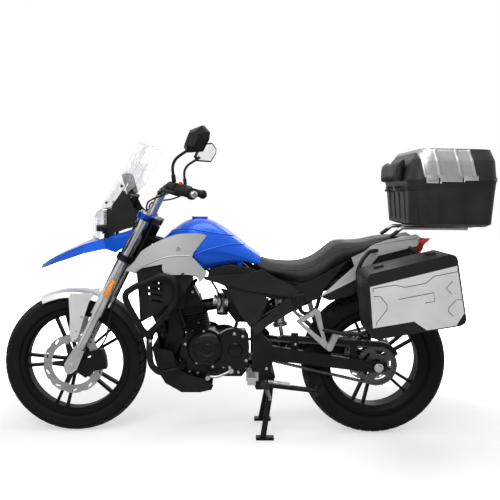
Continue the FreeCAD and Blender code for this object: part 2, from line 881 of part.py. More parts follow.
def make_fork_legs():
    """Upside-down fork legs with their axle feet and the hollow axle that joins them."""
    up = Vector(0, 0, 1)
    spacing = mm.fork_half_spacing
    outer_length = mm.fork_top - mm.fork_outer_low
    outer = Part.makeCylinder(mm.fork_outer_radius, outer_length, Vector(0, spacing, mm.fork_outer_low), up)
    inner_length = mm.fork_outer_low - mm.fork_foot_high
    inner = Part.makeCylinder(mm.fork_inner_radius, inner_length, Vector(0, spacing, mm.fork_foot_high), up)
    foot_half = mm.fork_foot_depth / 2
    foot_outline = [
        (-foot_half * 0.55, -mm.fork_foot_low),
        [(0, -mm.fork_foot_low * 1.3), (foot_half * 0.55, -mm.fork_foot_low)],
        (foot_half, 0), (foot_half * 0.85, mm.fork_foot_high * 0.6),
        (mm.fork_inner_radius * 1.15, mm.fork_foot_high),
        (-mm.fork_inner_radius * 1.15, mm.fork_foot_high), (-foot_half * 0.9, mm.fork_foot_high * 0.5),
        (-foot_half, 0),
    ]
    foot = prism(foot_outline, "y", spacing - mm.fork_foot_width / 2, spacing + mm.fork_foot_width / 2)
    leg = fused(outer, inner, foot)
    reach = spacing + mm.fork_foot_width / 2
    axle = rod((0, -reach, 0), (0, reach, 0), mm.front_axle_radius)
    nut = Part.makeCylinder(mm.axle_nut_radius, mm.axle_nut_length, Vector(0, reach, 0), Vector(0, 1, 0))
    legs = fused(leg, mirrored(leg), axle, nut, mirrored(nut))
    end = reach + mm.axle_nut_length
    return legs.cut(rod((0, -end, 0), (0, end, 0), mm.front_axle_bore_radius))


def make_handlebar():
    """The bar on two risers, drawn in the bike's own frame."""
    half = [
        (mm.bar_centre_x, mm.bar_bend_half, mm.bar_centre_z),
        (mm.bar_rise_x, mm.bar_rise_half, mm.bar_rise_z),
        (mm.bar_end_x, mm.bar_end_half, mm.bar_end_z),
    ]
    route = [(x, -y, z) for x, y, z in reversed(half)] + half
    bar = tube(route, mm.bar_radius, mm.bar_bend_radius)
    up = Vector(-math.sin(math.radians(mm.rake_degrees)), 0, math.cos(math.radians(mm.rake_degrees)))
    top = Vector(mm.bar_centre_x, mm.riser_half, mm.bar_centre_z)
    clamp_top = mm.upper_clamp_low + mm.clamp_thickness
    axle = Vector(mm.wheel_base, 0, mm.front_tyre_radius)
    height = (top - axle).dot(up) - clamp_top
    risers = []
    for side in (-1, 1):
        head = Vector(top.x, side * top.y, top.z)
        risers.append(
            Part.makeCylinder(mm.riser_radius, height + mm.bar_radius + mm.clamp_collar, head - up * height, up)
        )
    return fused(bar, *risers)


def bar_direction():
    """The bar's left end and the way from it along the grip."""
    start = Vector(mm.bar_rise_x, mm.bar_rise_half, mm.bar_rise_z)
    end = Vector(mm.bar_end_x, mm.bar_end_half, mm.bar_end_z)
    return end, (start - end).normalize()


def make_controls():
    """Grips, switch housings and levers around the bar's ends."""
    end, inward = bar_direction()
    hollow = mm.bar_radius + mm.contact_gap
    grip = Part.makeCylinder(mm.grip_radius, mm.grip_length, end, inward)
    collar = Part.makeCylinder(mm.grip_radius * 1.25, mm.grip_radius * 0.5, end, inward)
    switch_foot = end + inward * (mm.grip_length - mm.contact_gap)
    switch = Part.makeCylinder(mm.switch_radius, mm.switch_length, switch_foot, inward)
    bore = Part.makeCylinder(hollow, mm.grip_length + mm.switch_length + mm.cut_overrun, end, inward)
    clamp_at = end + inward * (mm.grip_length + mm.switch_length * 0.75)
    lever_root = clamp_at + Vector(mm.lever_reach * 0.55, 0, 0)
    lever_mid = end + inward * (mm.grip_length * 0.7) + Vector(mm.lever_reach, 0, 0)
    lever_tip = end + inward * (mm.grip_length * 0.1) + Vector(mm.lever_reach * 0.9, 0, 0)
    arm = rod(tuple(clamp_at), tuple(lever_root), mm.lever_radius * 1.6)
    route = [tuple(lever_root), tuple(lever_mid), tuple(lever_tip)]
    lever = tube(route, mm.lever_radius, mm.lever_reach)
    left = fused(grip, collar, switch, arm, lever).cut(bore)
    return pair(left)


MIRROR_SHARES = (
    (-1.0, -0.55), (-0.75, -1.0), (0.45, -1.0), (0.95, -0.1), (1.0, 0.45), (0.55, 1.0), (-0.45, 0.75),
)
MIRROR_BACK_SHARE = 0.55


def make_mirrors():
    """Faceted mirror heads on bent stems from the switch housings."""
    end, inward = bar_direction()
    foot = end + inward * (mm.grip_length + mm.switch_length * 0.5)
    foot = foot + Vector(0, 0, mm.switch_radius + mm.contact_gap)
    rise = mm.mirror_z - foot.z
    head = Vector(mm.mirror_x, mm.mirror_half, mm.mirror_z)
    route = [
        foot, Vector(foot.x + mm.switch_radius * 0.4, foot.y + mm.switch_radius * 0.4, foot.z + rise * 0.5),
        Vector(mm.mirror_x + mm.mirror_depth * 0.5, head.y - mm.mirror_width * 0.35, head.z - mm.mirror_height * 0.3),
    ]
    stem = tube(route, mm.mirror_stem_radius, mm.mirror_width)
    sleeve = rod(foot, foot + (route[1] - foot) * 0.35, mm.mirror_stem_radius * 1.5)
    rings = []
    for x, share in ((-mm.mirror_depth / 2, 1.0), (-mm.mirror_depth * 0.1, 1.0), (mm.mirror_depth / 2, MIRROR_BACK_SHARE)):
        places = [Vector(x, across * share * mm.mirror_width / 2, up * share * mm.mirror_height / 2)
                  for across, up in MIRROR_SHARES]
        rings.append(Part.makePolygon(places + [places[0]]))
    shell = Part.makeLoft(rings, True, True)
    shell.rotate(Vector(0, 0, 0), Vector(0, 0, 1), mm.mirror_turn_degrees)
    shell.translate(head)
    return pair(fused(stem, sleeve, shell))


MUDGUARD_LEG_SHARES = (
    (0.052, 0.9), (0.039, 0.62), (0.046, 0.42), (0.013, 0.3), (-0.065, 0.36), (-0.143, 0.62), (-0.215, 0.84),
    (-0.287, 0.98), (-0.13, 0.966), (0.033, 0.966),
)


def make_front_mudguard():
    """A shell turned about the wheel, with legs down to the fork feet; drawn at the axle, unraked."""
    inner = mm.front_tyre_radius + mm.mudguard_gap
    half = mm.mudguard_outer_half
    wall = mm.mudguard_shell
    top = inner + wall
    section = [
        (-half, inner - mm.mudguard_flange), (-half * 0.86, inner - mm.mudguard_flange * 0.25),
        (-half * 0.5, top - wall * 0.6), (0, top), (half * 0.5, top - wall * 0.6),
        (half * 0.86, inner - mm.mudguard_flange * 0.25), (half, inner - mm.mudguard_flange),
    ]
    under = [(across * (1 - wall / half), up - wall) for across, up in reversed(section)]
    points = [Vector(0, across, up) for across, up in section + under]
    shell = Part.Face(Part.makePolygon(points + [points[0]]))
    shell.rotate(Vector(0, 0, 0), Vector(0, 1, 0), 90 - mm.mudguard_front_degrees)
    shell = shell.revolve(
        Vector(0, 0, 0), Vector(0, 1, 0), mm.mudguard_front_degrees - mm.mudguard_back_degrees
    )
    leg = prism(spread(MUDGUARD_LEG_SHARES, 0, inner, 0, inner), "y", half - wall, half)
    return fused(shell, leg, mirrored(leg))


def make_front_brake():
    """The left caliper astride the disc, with its bracket to the fork foot; drawn at the axle, unraked."""
    radius = mm.front_disc_radius
    out = radius + mm.caliper_wall
    low = radius - mm.caliper_length * 0.55
    half = mm.caliper_length / 2
    plane = mm.front_disc_plane
    outline = [(low, -half), (out * 0.96, -half), [(out, 0), (out * 0.96, half)], (low, half)]
    body = prism(outline, "y", plane - mm.caliper_wall, plane + mm.caliper_wall)
    slot_foot = Vector(0, plane - mm.caliper_slot / 2, 0)
    slot = Part.makeCylinder(radius + mm.caliper_slot / 2, mm.caliper_slot, slot_foot, Vector(0, 1, 0))
    foot = mm.fork_foot_high
    bracket_outline = [
        (out * 0.9, -half * 0.5), (out * 0.9, half * 0.5), (foot * 0.5, foot * 0.8), (0, foot * 0.3),
        (foot * 0.2, -mm.fork_foot_low * 0.5),
    ]
    inner_face = mm.fork_half_spacing - mm.fork_foot_width / 2 - mm.contact_gap
    bracket = prism(bracket_outline, "y", plane + mm.caliper_slot * 0.75, inner_face)
    hole = rod((0, 0, 0), (0, mm.fork_half_spacing, 0), mm.front_axle_radius * 1.6)
    piston_at = Vector((low + out) / 2, plane + mm.caliper_wall, 0)
    pistons = [
        Part.makeCylinder(
            mm.caliper_wall, mm.caliper_slot / 2, piston_at + Vector(0, 0, side * half / 2), Vector(0, 1, 0)
        )
        for side in (-1, 1)
    ]
    inboard = [piston.mirror(Vector(0, plane, 0), Vector(0, 1, 0)) for piston in pistons]
    return body.cut(slot).fuse(bracket.cut(hole)).multiFuse(inboard)


keep("fork_clamps", make_clamps(), fork_frame)
keep("fork_legs", make_fork_legs(), fork_frame)
keep("handlebar", make_handlebar())
keep("controls", make_controls())
keep("mirrors", make_mirrors().cut(make_controls()))
fork_legs = make_fork_legs()
fork_turn = Placement(Vector(0, 0, 0), fork_frame.Rotation)
legs_at_hub = fork_legs.copy()
legs_at_hub.Placement = fork_turn.multiply(legs_at_hub.Placement)
keep("front_mudguard", make_front_mudguard().cut(legs_at_hub), front_hub)
caliper_turn = Placement(front_hub.Base, Rotation(Vector(0, 1, 0), -mm.caliper_degrees))
keep("front_brake", make_front_brake(), caliper_turn)

def fork_place(along, up, side=0.0):
    """A place in the bike's frame from one measured up the fork."""
    rake = math.radians(mm.rake_degrees)
    x = mm.wheel_base + along * math.cos(rake) - up * math.sin(rake)
    z = mm.front_tyre_radius + along * math.sin(rake) + up * math.cos(rake)
    return Vector(x, side, z)


BRAKE_HOSE_SHARES = (
    (-0.0523, 0.0531, 0.0777), (-0.0618, 0.0618, 0.1307), (-0.046, 0.0729, 0.1807),
    (-0.0325, 0.0777, 0.2377), (-0.0317, 0.0784, 0.317), (-0.0321, 0.0784, 0.3962),
    (-0.0317, 0.0777, 0.4754), (-0.0293, 0.0697, 0.5452),
    (-0.0095, 0.0523, 0.5864), (0.0143, 0.0222, 0.599), (0.0151, -0.0317, 0.6086),
    (0.0063, -0.0887, 0.6244), (-0.0111, -0.1458, 0.6355), (-0.0365, -0.1997, 0.6585),
)
CLUTCH_CABLE_SHARES = (
    (-0.0365, 0.1997, 0.6585), (-0.0293, 0.1458, 0.6339), (-0.004, 0.0935, 0.6141),
    (0.0182, 0.0523, 0.5848), (0.004, 0.0365, 0.5499),
)
THROTTLE_CABLE_SHARES = (
    (-0.0571, -0.2029, 0.6513), (-0.0349, -0.1458, 0.6228), (-0.0048, -0.0824, 0.6022),
    (0.0214, -0.0491, 0.58), (0.004, -0.0365, 0.5499),
)


def make_cables(*carriers):
    """Brake hose up the left leg and over to the right switches, and the loops from the switches to the clamp."""
    cables = []
    for shares in (BRAKE_HOSE_SHARES, CLUTCH_CABLE_SHARES, THROTTLE_CABLE_SHARES):
        base = mm.wheel_base
        route = [fork_place(along * base, up * base, side * base) for along, side, up in shares]
        cables.append(seated(tube(route, mm.cable_radius, base), *carriers))
    return Part.makeCompound(cables)


in_bike = Placement(Vector(mm.wheel_base, 0, mm.front_tyre_radius), Rotation())
caliper = make_front_brake()
caliper.Placement = in_bike.multiply(Placement(Vector(0, 0, 0), caliper_turn.Rotation))
clamps = make_clamps()
clamps.Placement = in_bike.multiply(fork_turn)
keep("cables", make_cables(caliper, clamps, make_controls()))

# Swingarm, rear axle and chain


CHAIN_GUARD_SHARES = (
    (-0.0681, 0.2821), [(-0.0571, 0.3011), (-0.0333, 0.317), (0.0, 0.3233)], (0.3154, 0.3407),
    (0.3281, 0.3328), (0.317, 0.3257), (0.0, 0.3074),
    [(-0.0269, 0.3027), (-0.046, 0.29), (-0.0571, 0.2758)],
)
CHAIN_GUARD_FOOT_SHARES = ((0.0792, 0.2615), (0.2742, 0.2948))


def make_chain_guard():
    """An angle over the upper chain run: a top flange and an outer side, on two feet."""
    outline = base_outline(CHAIN_GUARD_SHARES)
    inner = mm.rear_tyre_width / 2 + mm.running_gap
    outer = mm.swingarm_inner_half + mm.guard_thickness
    guard = prism(outline, "y", inner, outer)
    lowered = [
        [(x, z - mm.guard_thickness) for x, z in item] if isinstance(item, list) else (
            item[0], item[1] - mm.guard_thickness
        )
        for item in outline
    ]
    guard = guard.cut(prism(lowered, "y", inner - mm.cut_overrun, mm.swingarm_inner_half))
    feet = []
    for x, z in base_outline(CHAIN_GUARD_FOOT_SHARES):
        half = mm.swingarm_brace_length / 2
        feet.append(
            box((x - half, x + half), (mm.swingarm_inner_half, outer), (z, z + mm.swingarm_rear_height * 1.6))
        )
    return max(guard.Solids, key=lambda solid: solid.Volume), feet


def make_swingarm():
    """Both arms with the axle, the pivot tube, the shock's ears and the chain guard."""
    pivot = (mm.swingarm_pivot_x, mm.swingarm_pivot_z)
    inner = mm.swingarm_inner_half
    outer = inner + mm.swingarm_wall
    front = mm.swingarm_front_height / 2
    rear = mm.swingarm_rear_height / 2
    axle = (0, mm.rear_tyre_radius)
    outline = [
        (axle[0] - mm.swingarm_tail, axle[1] - rear * 0.8), (axle[0] + mm.swingarm_tail, axle[1] - rear),
        (pivot[0], pivot[1] - front), [(pivot[0] + front, pivot[1]), (pivot[0], pivot[1] + front)],
        (axle[0] + mm.swingarm_tail, axle[1] + rear), (axle[0] - mm.swingarm_tail, axle[1] + rear * 0.8),
    ]
    arm = prism(outline, "y", inner, outer)
    pivot_tube = cross_rod(pivot[0], inner, pivot[1], mm.swingarm_pivot_radius)
    brace_z = shock_foot().z - mm.shock_ear_height
    half_length = mm.swingarm_brace_length / 2
    half_height = mm.swingarm_brace_height / 2
    x_range = (mm.swingarm_brace_x - half_length, mm.swingarm_brace_x + half_length)
    brace = box(x_range, (-inner, inner), (brace_z - half_height, brace_z + half_height))
    foot = shock_foot()
    ear_low = mm.shock_eye_half + mm.contact_gap
    ear_high = ear_low + mm.guard_thickness * 2
    ear = box((foot.x - mm.shock_eye_radius, foot.x + mm.shock_eye_radius), (ear_low, ear_high),
              (brace_z, foot.z + mm.shock_eye_radius))
    pin = cross_rod(foot.x, ear_high, foot.z, mm.stand_bolt_radius)
    spindle = cross_rod(0, outer, axle[1], mm.rear_axle_radius)
    nut = Part.makeCylinder(
        mm.axle_nut_radius, mm.axle_nut_length, Vector(0, outer, axle[1]), Vector(0, 1, 0)
    )
    guard, feet = make_chain_guard()
    body = fused(
        arm, mirrored(arm), pivot_tube, brace, ear, mirrored(ear), pin, spindle, nut, mirrored(nut), guard,
        *feet
    )
    hole = mm.pivot_bolt_radius + mm.contact_gap
    return body.cut(cross_rod(pivot[0], outer, pivot[1], hole))


def shock_foot():
    """The shock's lower eye, over the swingarm's brace."""
    share = mm.swingarm_brace_x / mm.swingarm_pivot_x
    brace_z = mm.rear_tyre_radius + (mm.swingarm_pivot_z - mm.rear_tyre_radius) * share
    return Vector(mm.swingarm_brace_x, 0, brace_z + mm.shock_ear_height)


def shock_head():
    """The shock's upper eye, on a cross tube between the tail rails."""
    x, _, z = base_points(TAIL_RAIL_SHARES)[1]
    return Vector(x, 0, z)


def make_rear_shock(*carriers):
    """A damper in its coil, drawn as rings about the damper, with an eye at each end."""
    foot = shock_foot()
    head = shock_head()
    along = (head - foot).normalize()
    length = (head - foot).Length
    radius = mm.shock_body_radius
    pieces = [
        rod(foot, head, radius * 0.45),
        rod(foot + along * length * 0.3, foot + along * length * 0.86, radius)
    ]
    for share in (0.26, 0.86):
        pieces.append(
            Part.makeCylinder(mm.shock_spring_radius, mm.guard_thickness, foot + along * length * share, along)
        )
    for number in range(int(mm.shock_coils)):
        share = 0.3 + 0.54 * number / (mm.shock_coils - 1)
        coil_radius = mm.shock_spring_radius - mm.shock_wire_radius
        pieces.append(Part.makeTorus(coil_radius, mm.shock_wire_radius, foot + along * length * share, along))
    core = rod(
        foot + along * length * 0.28, foot + along * length * 0.88,
        mm.shock_spring_radius - mm.shock_wire_radius * 1.6
    )
    for eye in (foot, head):
        pieces.append(
            rod(eye - Vector(0, mm.shock_eye_half, 0), eye + Vector(0, mm.shock_eye_half, 0), mm.shock_eye_radius)
        )
    return seated(fused(core, *pieces), *carriers)


def chain_wire(offset, side):
    """The belt outline around both sprockets, a set distance outside the pitch line."""
    rear = pitch_radius(mm.rear_teeth) + offset
    drive = pitch_radius(mm.drive_teeth) + offset
    drive_at = Vector(mm.drive_sprocket_x, side, mm.drive_sprocket_z)
    rear_at = Vector(0, side, mm.rear_tyre_radius)
    span = drive_at - rear_at
    tilt = math.atan2(span.z, span.x)
    open_angle = math.acos((rear - drive) / span.Length)

    def on(centre, radius, angle):
        return centre + Vector(radius * math.cos(angle), 0, radius * math.sin(angle))

    top = tilt + open_angle
    low = tilt - open_angle
    edges = [
        Part.makeLine(on(rear_at, rear, top), on(drive_at, drive, top)),
        Part.Arc(on(drive_at, drive, top), on(drive_at, drive, tilt), on(drive_at, drive, low)).toShape(),
        Part.makeLine(on(drive_at, drive, low), on(rear_at, rear, low)),
        Part.Arc(on(rear_at, rear, low), on(rear_at, rear, tilt + math.pi), on(rear_at, rear, top)).toShape(),
    ]
    return Part.Wire(edges)


def make_chain():
    """Two rows of side plates as bands, joined by the rollers of the free runs."""
    half = mm.chain_plate_height / 2
    inner = mm.chain_plane + mm.chain_plate_gap / 2
    bands = []
    for side in (inner, mm.chain_plane - mm.chain_plate_gap / 2 - mm.chain_plate_thickness):
        ring = Part.Face(chain_wire(half, side)).cut(Part.Face(chain_wire(-half, side)))
        bands.append(ring.extrude(Vector(0, mm.chain_plate_thickness, 0)))
    route = chain_wire(0, mm.chain_plane)
    clear = pitch_radius(mm.rear_teeth) + mm.tooth_height + mm.roller_radius + mm.chain_pitch
    rear_at = Vector(0, mm.chain_plane, mm.rear_tyre_radius)
    rollers = []
    for run in (route.Edges[0], route.Edges[2]):
        steps = int(run.Length / (mm.chain_pitch * 2))
        for number in range(steps + 1):
            at = run.valueAt(run.FirstParameter + number / steps * (run.LastParameter - run.FirstParameter))
            if (at - rear_at).Length > clear:
                low = Vector(at.x, mm.chain_plane - mm.chain_plate_gap / 2, at.z)
                rollers.append(Part.makeCylinder(mm.roller_radius, mm.chain_plate_gap, low, Vector(0, 1, 0)))
    return fused(*bands, *rollers)


swingarm = make_swingarm()
keep("swingarm", swingarm)
keep("chain", make_chain())

# Frame, engine and exhaust


MAIN_TUBE_SHARES = (
    (0.7052, 0.046, 0.6339), (0.5151, 0.0586, 0.5824), (0.4319, 0.0697, 0.5468), (0.4057, 0.0, 0.4754),
    (0.3962, 0.0, 0.3724),
)
DOWN_TUBE_SHARES = ((0.7369, 0.0, 0.4437), (0.7005, 0.0, 0.3328), (0.6878, 0.0, 0.2615))
TAIL_RAIL_SHARES = (
    (0.4406, 0.0697, 0.5468), (0.3407, 0.0792, 0.5024), (0.2456, 0.0792, 0.4754), (0.1268, 0.0792, 0.5293),
    (0.0475, 0.0761, 0.5927), (-0.1109, 0.0523, 0.6387),
)
STRUT_SHARES = ((0.3962, 0.0, 0.3962), (0.2552, 0.0824, 0.477))
HANGER_STAY_SHARES = (
    (0.2615, 0.0808, 0.4754), (0.2567, 0.0872, 0.412), (0.2092, 0.0872, 0.4247), (0.187, 0.0808, 0.5008),
)
PIVOT_PLATE_SHARES = (
    (0.3582, 0.168), (0.3978, 0.168), (0.412, 0.1981), (0.4152, 0.3328), (0.4152, 0.412), (0.3851, 0.412),
    (0.3788, 0.3487), (0.3471, 0.317), (0.3455, 0.2615), (0.355, 0.2219),
)
ENGINE_PLATE_SHARES = (
    (0.6878, 0.2377), (0.6878, 0.309), (0.6577, 0.3011), (0.6387, 0.2773), (0.6387, 0.2456),
)
STAND_EAR_SHARES = ((0.3914, 0.1775), (0.3914, 0.1981), (0.3487, 0.2187), [(0.336, 0.2092), (0.3439, 0.1965)])
PLATE_CROSS_SHARES = ((0.3914, 0.187), (0.3962, 0.3867), (0.4057, 0.2377))


def make_frame():
    """Head tube, twin main tubes, down tube, tail rails, struts, pivot plates and the stands' lugs."""
    head_low = mm.lower_clamp_low + mm.clamp_thickness + mm.running_gap
    head_high = mm.upper_clamp_low - mm.running_gap
    head_ends = [fork_place(-mm.fork_offset, up) for up in (head_low, head_high)]
    head = rod(head_ends[0], head_ends[1], mm.head_radius)
    head_bore = rod(head_ends[0], head_ends[1], mm.stem_radius + mm.bearing_gap)
    mid_head = fork_place(-mm.fork_offset, (head_low + head_high) / 2)
    plate_side = mm.pivot_plate_inner - mm.main_tube_radius * 0.6
    root = mid_head + Vector(-mm.head_radius * 0.4, mm.head_radius * 0.47, mm.head_radius * 0.27)
    main_route = [root] + base_points(MAIN_TUBE_SHARES)
    for place in main_route[-2:]:
        place.y = plate_side
    main = tube(main_route, mm.main_tube_radius, mm.frame_bend_radius)
    low_head = fork_place(-mm.fork_offset, head_low + mm.head_radius * 2) - Vector(
        mm.head_radius * 0.47, 0, 0
    )
    down = tube([low_head] + base_points(DOWN_TUBE_SHARES), mm.down_tube_radius, mm.frame_bend_radius)
    rail_route = base_points(TAIL_RAIL_SHARES)
    rail = tube(rail_route, mm.rail_tube_radius, mm.frame_bend_radius)
    strut_low, strut_high = base_points(STRUT_SHARES)
    strut_low.y = plate_side
    strut = rod(strut_low, strut_high, mm.rail_tube_radius)
    tail_cross = cross_rod(rail_route[-1].x, rail_route[-1].y, rail_route[-1].z, mm.rail_tube_radius)
    shock_cross = cross_rod(shock_head().x, rail_route[1].y, shock_head().z, mm.stand_bolt_radius * 1.5)
    inner = mm.pivot_plate_inner
    plate = prism(base_outline(PIVOT_PLATE_SHARES), "y", inner, inner + mm.pivot_plate_thickness)
    bolt = cross_rod(mm.swingarm_pivot_x, inner, mm.swingarm_pivot_z, mm.pivot_bolt_radius)
    crosses = [cross_rod(x, inner, z, mm.rail_tube_radius) for x, z in base_outline(PLATE_CROSS_SHARES)]
    engine_plate = prism(
        base_outline(ENGINE_PLATE_SHARES), "y", -mm.stand_ear_thickness, mm.stand_ear_thickness
    )
    lug_x, lug_z = base_outline(PLATE_CROSS_SHARES)[-1]
    radius = mm.rail_tube_radius
    mount_lug = box(
        (lug_x, mm.engine_rear_x + radius), (-radius * 2.5, radius * 2.5),
        (lug_z - radius * 0.85, lug_z + radius * 0.9)
    )
    hanger_stay = tube(base_points(HANGER_STAY_SHARES), mm.rack_tube_radius, mm.rack_bend_radius)
    ear_inner = mm.centre_stand_half + mm.centre_stand_tube_radius + mm.stand_side_gap
    ear_outer = ear_inner + mm.stand_ear_thickness
    ear = prism(base_outline(STAND_EAR_SHARES), "y", ear_inner, ear_outer)
    stand_bolt = cross_rod(mm.centre_stand_x, ear_outer, mm.centre_stand_z, mm.stand_bolt_radius)
    eye, along = side_stand_eye()
    lug_start = mm.side_stand_eye_half + mm.bearing_gap
    lug_end = mm.side_stand_lug_length
    pin_end = mm.side_stand_eye_half + mm.stand_bolt_radius
    stand_lug = rod(eye + along * lug_start, eye + along * lug_end, mm.side_stand_radius * 1.4)
    stand_lug = stand_lug.cut(box((0, mm.wheel_base), (0, inner), (0, mm.wheel_base)))
    stand_pin = rod(eye - along * pin_end, eye + along * lug_end * 0.6, mm.stand_bolt_radius)
    pin_head = rod(eye - along * pin_end, eye - along * lug_start, mm.stand_bolt_radius * 1.6)
    twins = [main, rail, strut, plate, hanger_stay, ear]
    singles = [
        down, tail_cross, shock_cross, bolt, engine_plate, mount_lug, stand_bolt, stand_lug, stand_pin,
        pin_head
    ]
    return fused(head, *twins, *[mirrored(twin) for twin in twins], *crosses, *singles).cut(head_bore)


def side_stand_eye():
    """The side stand's pivot and the line it swings about, from its folded and lowered ways."""
    eye = Vector(mm.side_stand_x, mm.side_stand_half, mm.side_stand_z)
    folded = Vector(-mm.side_stand_length, mm.side_stand_spread, -mm.side_stand_drop)
    return eye, folded.cross(Vector(*LOWERED_SHARES)).normalize()


LOWERED_SHARES = (0.35, 0.32, -0.88)

frame_shape = make_frame()


CRANKCASE_SHARES = (
    (0.0, 0.22), (0.105, 0.0), (0.86, 0.0), [(0.958, 0.166), (1.0, 0.442)], (0.986, 0.779), (0.909, 1.0),
    (0.524, 1.0),
    (0.4545, 0.934), (0.07, 0.978), [(0.014, 0.834), (0.0, 0.613)],
)
SPROCKET_COVER_SHARES = (
    (0.4247, 0.2377), (0.4754, 0.2314), (0.5151, 0.2425), (0.5166, 0.3487),
    [(0.4913, 0.3629), (0.4437, 0.3582)], (0.4247, 0.3455),
)
COVER_WEB_SHARES = ((0.5024, 0.2425), (0.5166, 0.2456), (0.5166, 0.3455), (0.5024, 0.3487))


def make_crankcase():
    """The engine's block with the round left cover, the right clutch cover and the sprocket cover."""
    length = mm.engine_front_x - mm.engine_rear_x
    height = mm.engine_deck_z - mm.engine_low_z
    outline = spread(CRANKCASE_SHARES, mm.engine_rear_x, length, mm.engine_low_z, height)
    block = prism(outline, "y", -mm.engine_right_half, mm.engine_left_half)
    left = Vector(0, 1, 0)
    crank = Vector(mm.crank_x, mm.engine_left_half - mm.cut_overrun, mm.crank_z)
    radius = mm.flywheel_cover_radius
    depth = mm.flywheel_housing_depth
    housing = Part.makeCylinder(radius, depth, crank, left)
    cover_depth = mm.flywheel_cover_half - mm.engine_left_half - depth
    cover = Part.makeCone(radius, radius * 0.86, cover_depth, crank + left * depth, left)
    cap = Part.makeCylinder(radius * 0.3, cover_depth + mm.contact_gap * 10, crank + left * depth, left)
    ring = Part.makeTorus(radius * 0.97, mm.cover_bead_radius, crank + left * depth, left)
    clutch_at = Vector(mm.clutch_cover_x, -mm.engine_right_half + mm.cut_overrun, mm.clutch_cover_z)
    clutch_depth = mm.clutch_cover_half - mm.engine_right_half
    clutch = Part.makeCone(
        mm.clutch_cover_radius, mm.clutch_cover_radius * 0.9, clutch_depth, clutch_at, left * -1
    )
    sprocket_cover = prism(
        base_outline(SPROCKET_COVER_SHARES), "y", mm.sprocket_cover_inner, mm.sprocket_cover_outer
    )
    web = prism(
        base_outline(COVER_WEB_SHARES), "y", mm.engine_left_half - mm.cut_overrun, mm.sprocket_cover_outer
    )
    return fused(block, housing, cover, cap, ring, clutch, sprocket_cover, web)


CARBURETTOR_SHARES = ((0.5927, 0.0, 0.4231), (0.4754, 0.0, 0.4437))
FLOAT_BOWL_SHARES = ((0.5119, 0.0, 0.3962), (0.5119, 0.0, 0.4675))


def make_cylinder():
    """Finned barrel, head and cam cover, leaning forward, with the carburettor behind."""
    half = mm.fin_width / 2
    head_low = mm.barrel_height
    head_half = mm.head_width / 2
    solids = [Part.makeCylinder(mm.barrel_core_radius, mm.barrel_height, Vector(0, 0, 0), Vector(0, 0, 1))]
    fins = [mm.fin_pitch * (number + 0.6) for number in range(int(mm.barrel_fins))]
    fins += [head_low + mm.fin_pitch * (number + 0.7) for number in range(int(mm.head_fins))]
    for z in fins:
        solids.append(box((-half, half), (-half, half), (z, z + mm.fin_thickness)))
    solids.append(
        box((-head_half, head_half), (-head_half, head_half), (head_low, head_low + mm.head_height))
    )
    cover_low = head_low + mm.head_height
    cover_high = cover_low + mm.head_cover_height
    cover_outline = [
        (-head_half * 0.92, cover_low), (head_half * 0.92, cover_low), (head_half * 0.7, cover_high),
        (-head_half * 0.7, cover_high),
    ]
    solids.append(prism(cover_outline, "y", -head_half * 0.9, head_half * 0.9))
    body = fused(*solids)
    body.rotate(Vector(0, 0, 0), Vector(0, 1, 0), mm.cylinder_lean_degrees)
    body.translate(Vector(mm.cylinder_x, 0, mm.engine_deck_z))
    reach = mm.wheel_base
    body = body.cut(box((0, reach), (-reach, reach), (0, mm.engine_deck_z)))
    barrel_ends = base_points(CARBURETTOR_SHARES)
    bowl_ends = base_points(FLOAT_BOWL_SHARES)
    barrel = rod(barrel_ends[0], barrel_ends[1], mm.carburettor_radius)
    bowl = rod(bowl_ends[0], bowl_ends[1], mm.carburettor_radius * 0.92)
    return fused(body, barrel, bowl)


HEADER_SHARES = (
    (0.6593, -0.0238, 0.4406), (0.6941, -0.0365, 0.4319), (0.6973, -0.0475, 0.3407),
    (0.6862, -0.0507, 0.2536), (0.664, -0.0523, 0.2044), (0.6181, -0.0539, 0.1815),
    (0.5468, -0.0586, 0.1838),
    (0.4992, -0.0777, 0.1791), (0.4437, -0.1189, 0.1791), (0.3724, -0.1236, 0.187),
)


def make_exhaust(engine_cylinder, hangers):
    """Header pipe from the head round the down tube's right side, under the engine to the silencer on its strap."""
    rise = math.radians(mm.silencer_rise_degrees)
    start = Vector(mm.silencer_front_x, -mm.silencer_half, mm.silencer_front_z)
    heading = Vector(-math.cos(rise), 0, math.sin(rise))
    taper = mm.silencer_cone_length
    route = base_points(HEADER_SHARES) + [start - heading * taper * 0.87, start + heading * taper * 0.65]
    header = tube(route, mm.header_radius, mm.header_bend_radius)
    can = Part.makeCylinder(mm.silencer_radius, mm.silencer_length, start, heading)
    cone = Part.makeCone(mm.header_radius * 1.12, mm.silencer_radius, taper, start - heading * taper, heading)
    end_cap = Part.makeCylinder(
        mm.silencer_radius * 1.03, taper * 0.4, start + heading * (mm.silencer_length - taper * 0.4),
        heading
    )
    bore_length = taper * 1.3
    bore = Part.makeCylinder(
        mm.silencer_radius * 0.5, bore_length, start + heading * (mm.silencer_length - bore_length), heading
    )
    strap_at = start + heading * (start.x - mm.passenger_peg_x + mm.hanger_thickness) / math.cos(rise)
    strap_half = mm.hanger_thickness / 2
    band = Part.makeCylinder(
        mm.silencer_radius * 1.04, mm.hanger_thickness, strap_at - heading * strap_half, heading
    )
    hanger_face = -mm.hanger_half - mm.hanger_thickness
    tab = box((strap_at.x - strap_half, strap_at.x + strap_half), (hanger_face - strap_half, hanger_face),
              (strap_at.z + mm.silencer_radius * 0.4, mm.passenger_peg_z))
    return fused(header, can, cone, end_cap, band, tab).cut(bore).cut(engine_cylinder).cut(hangers)


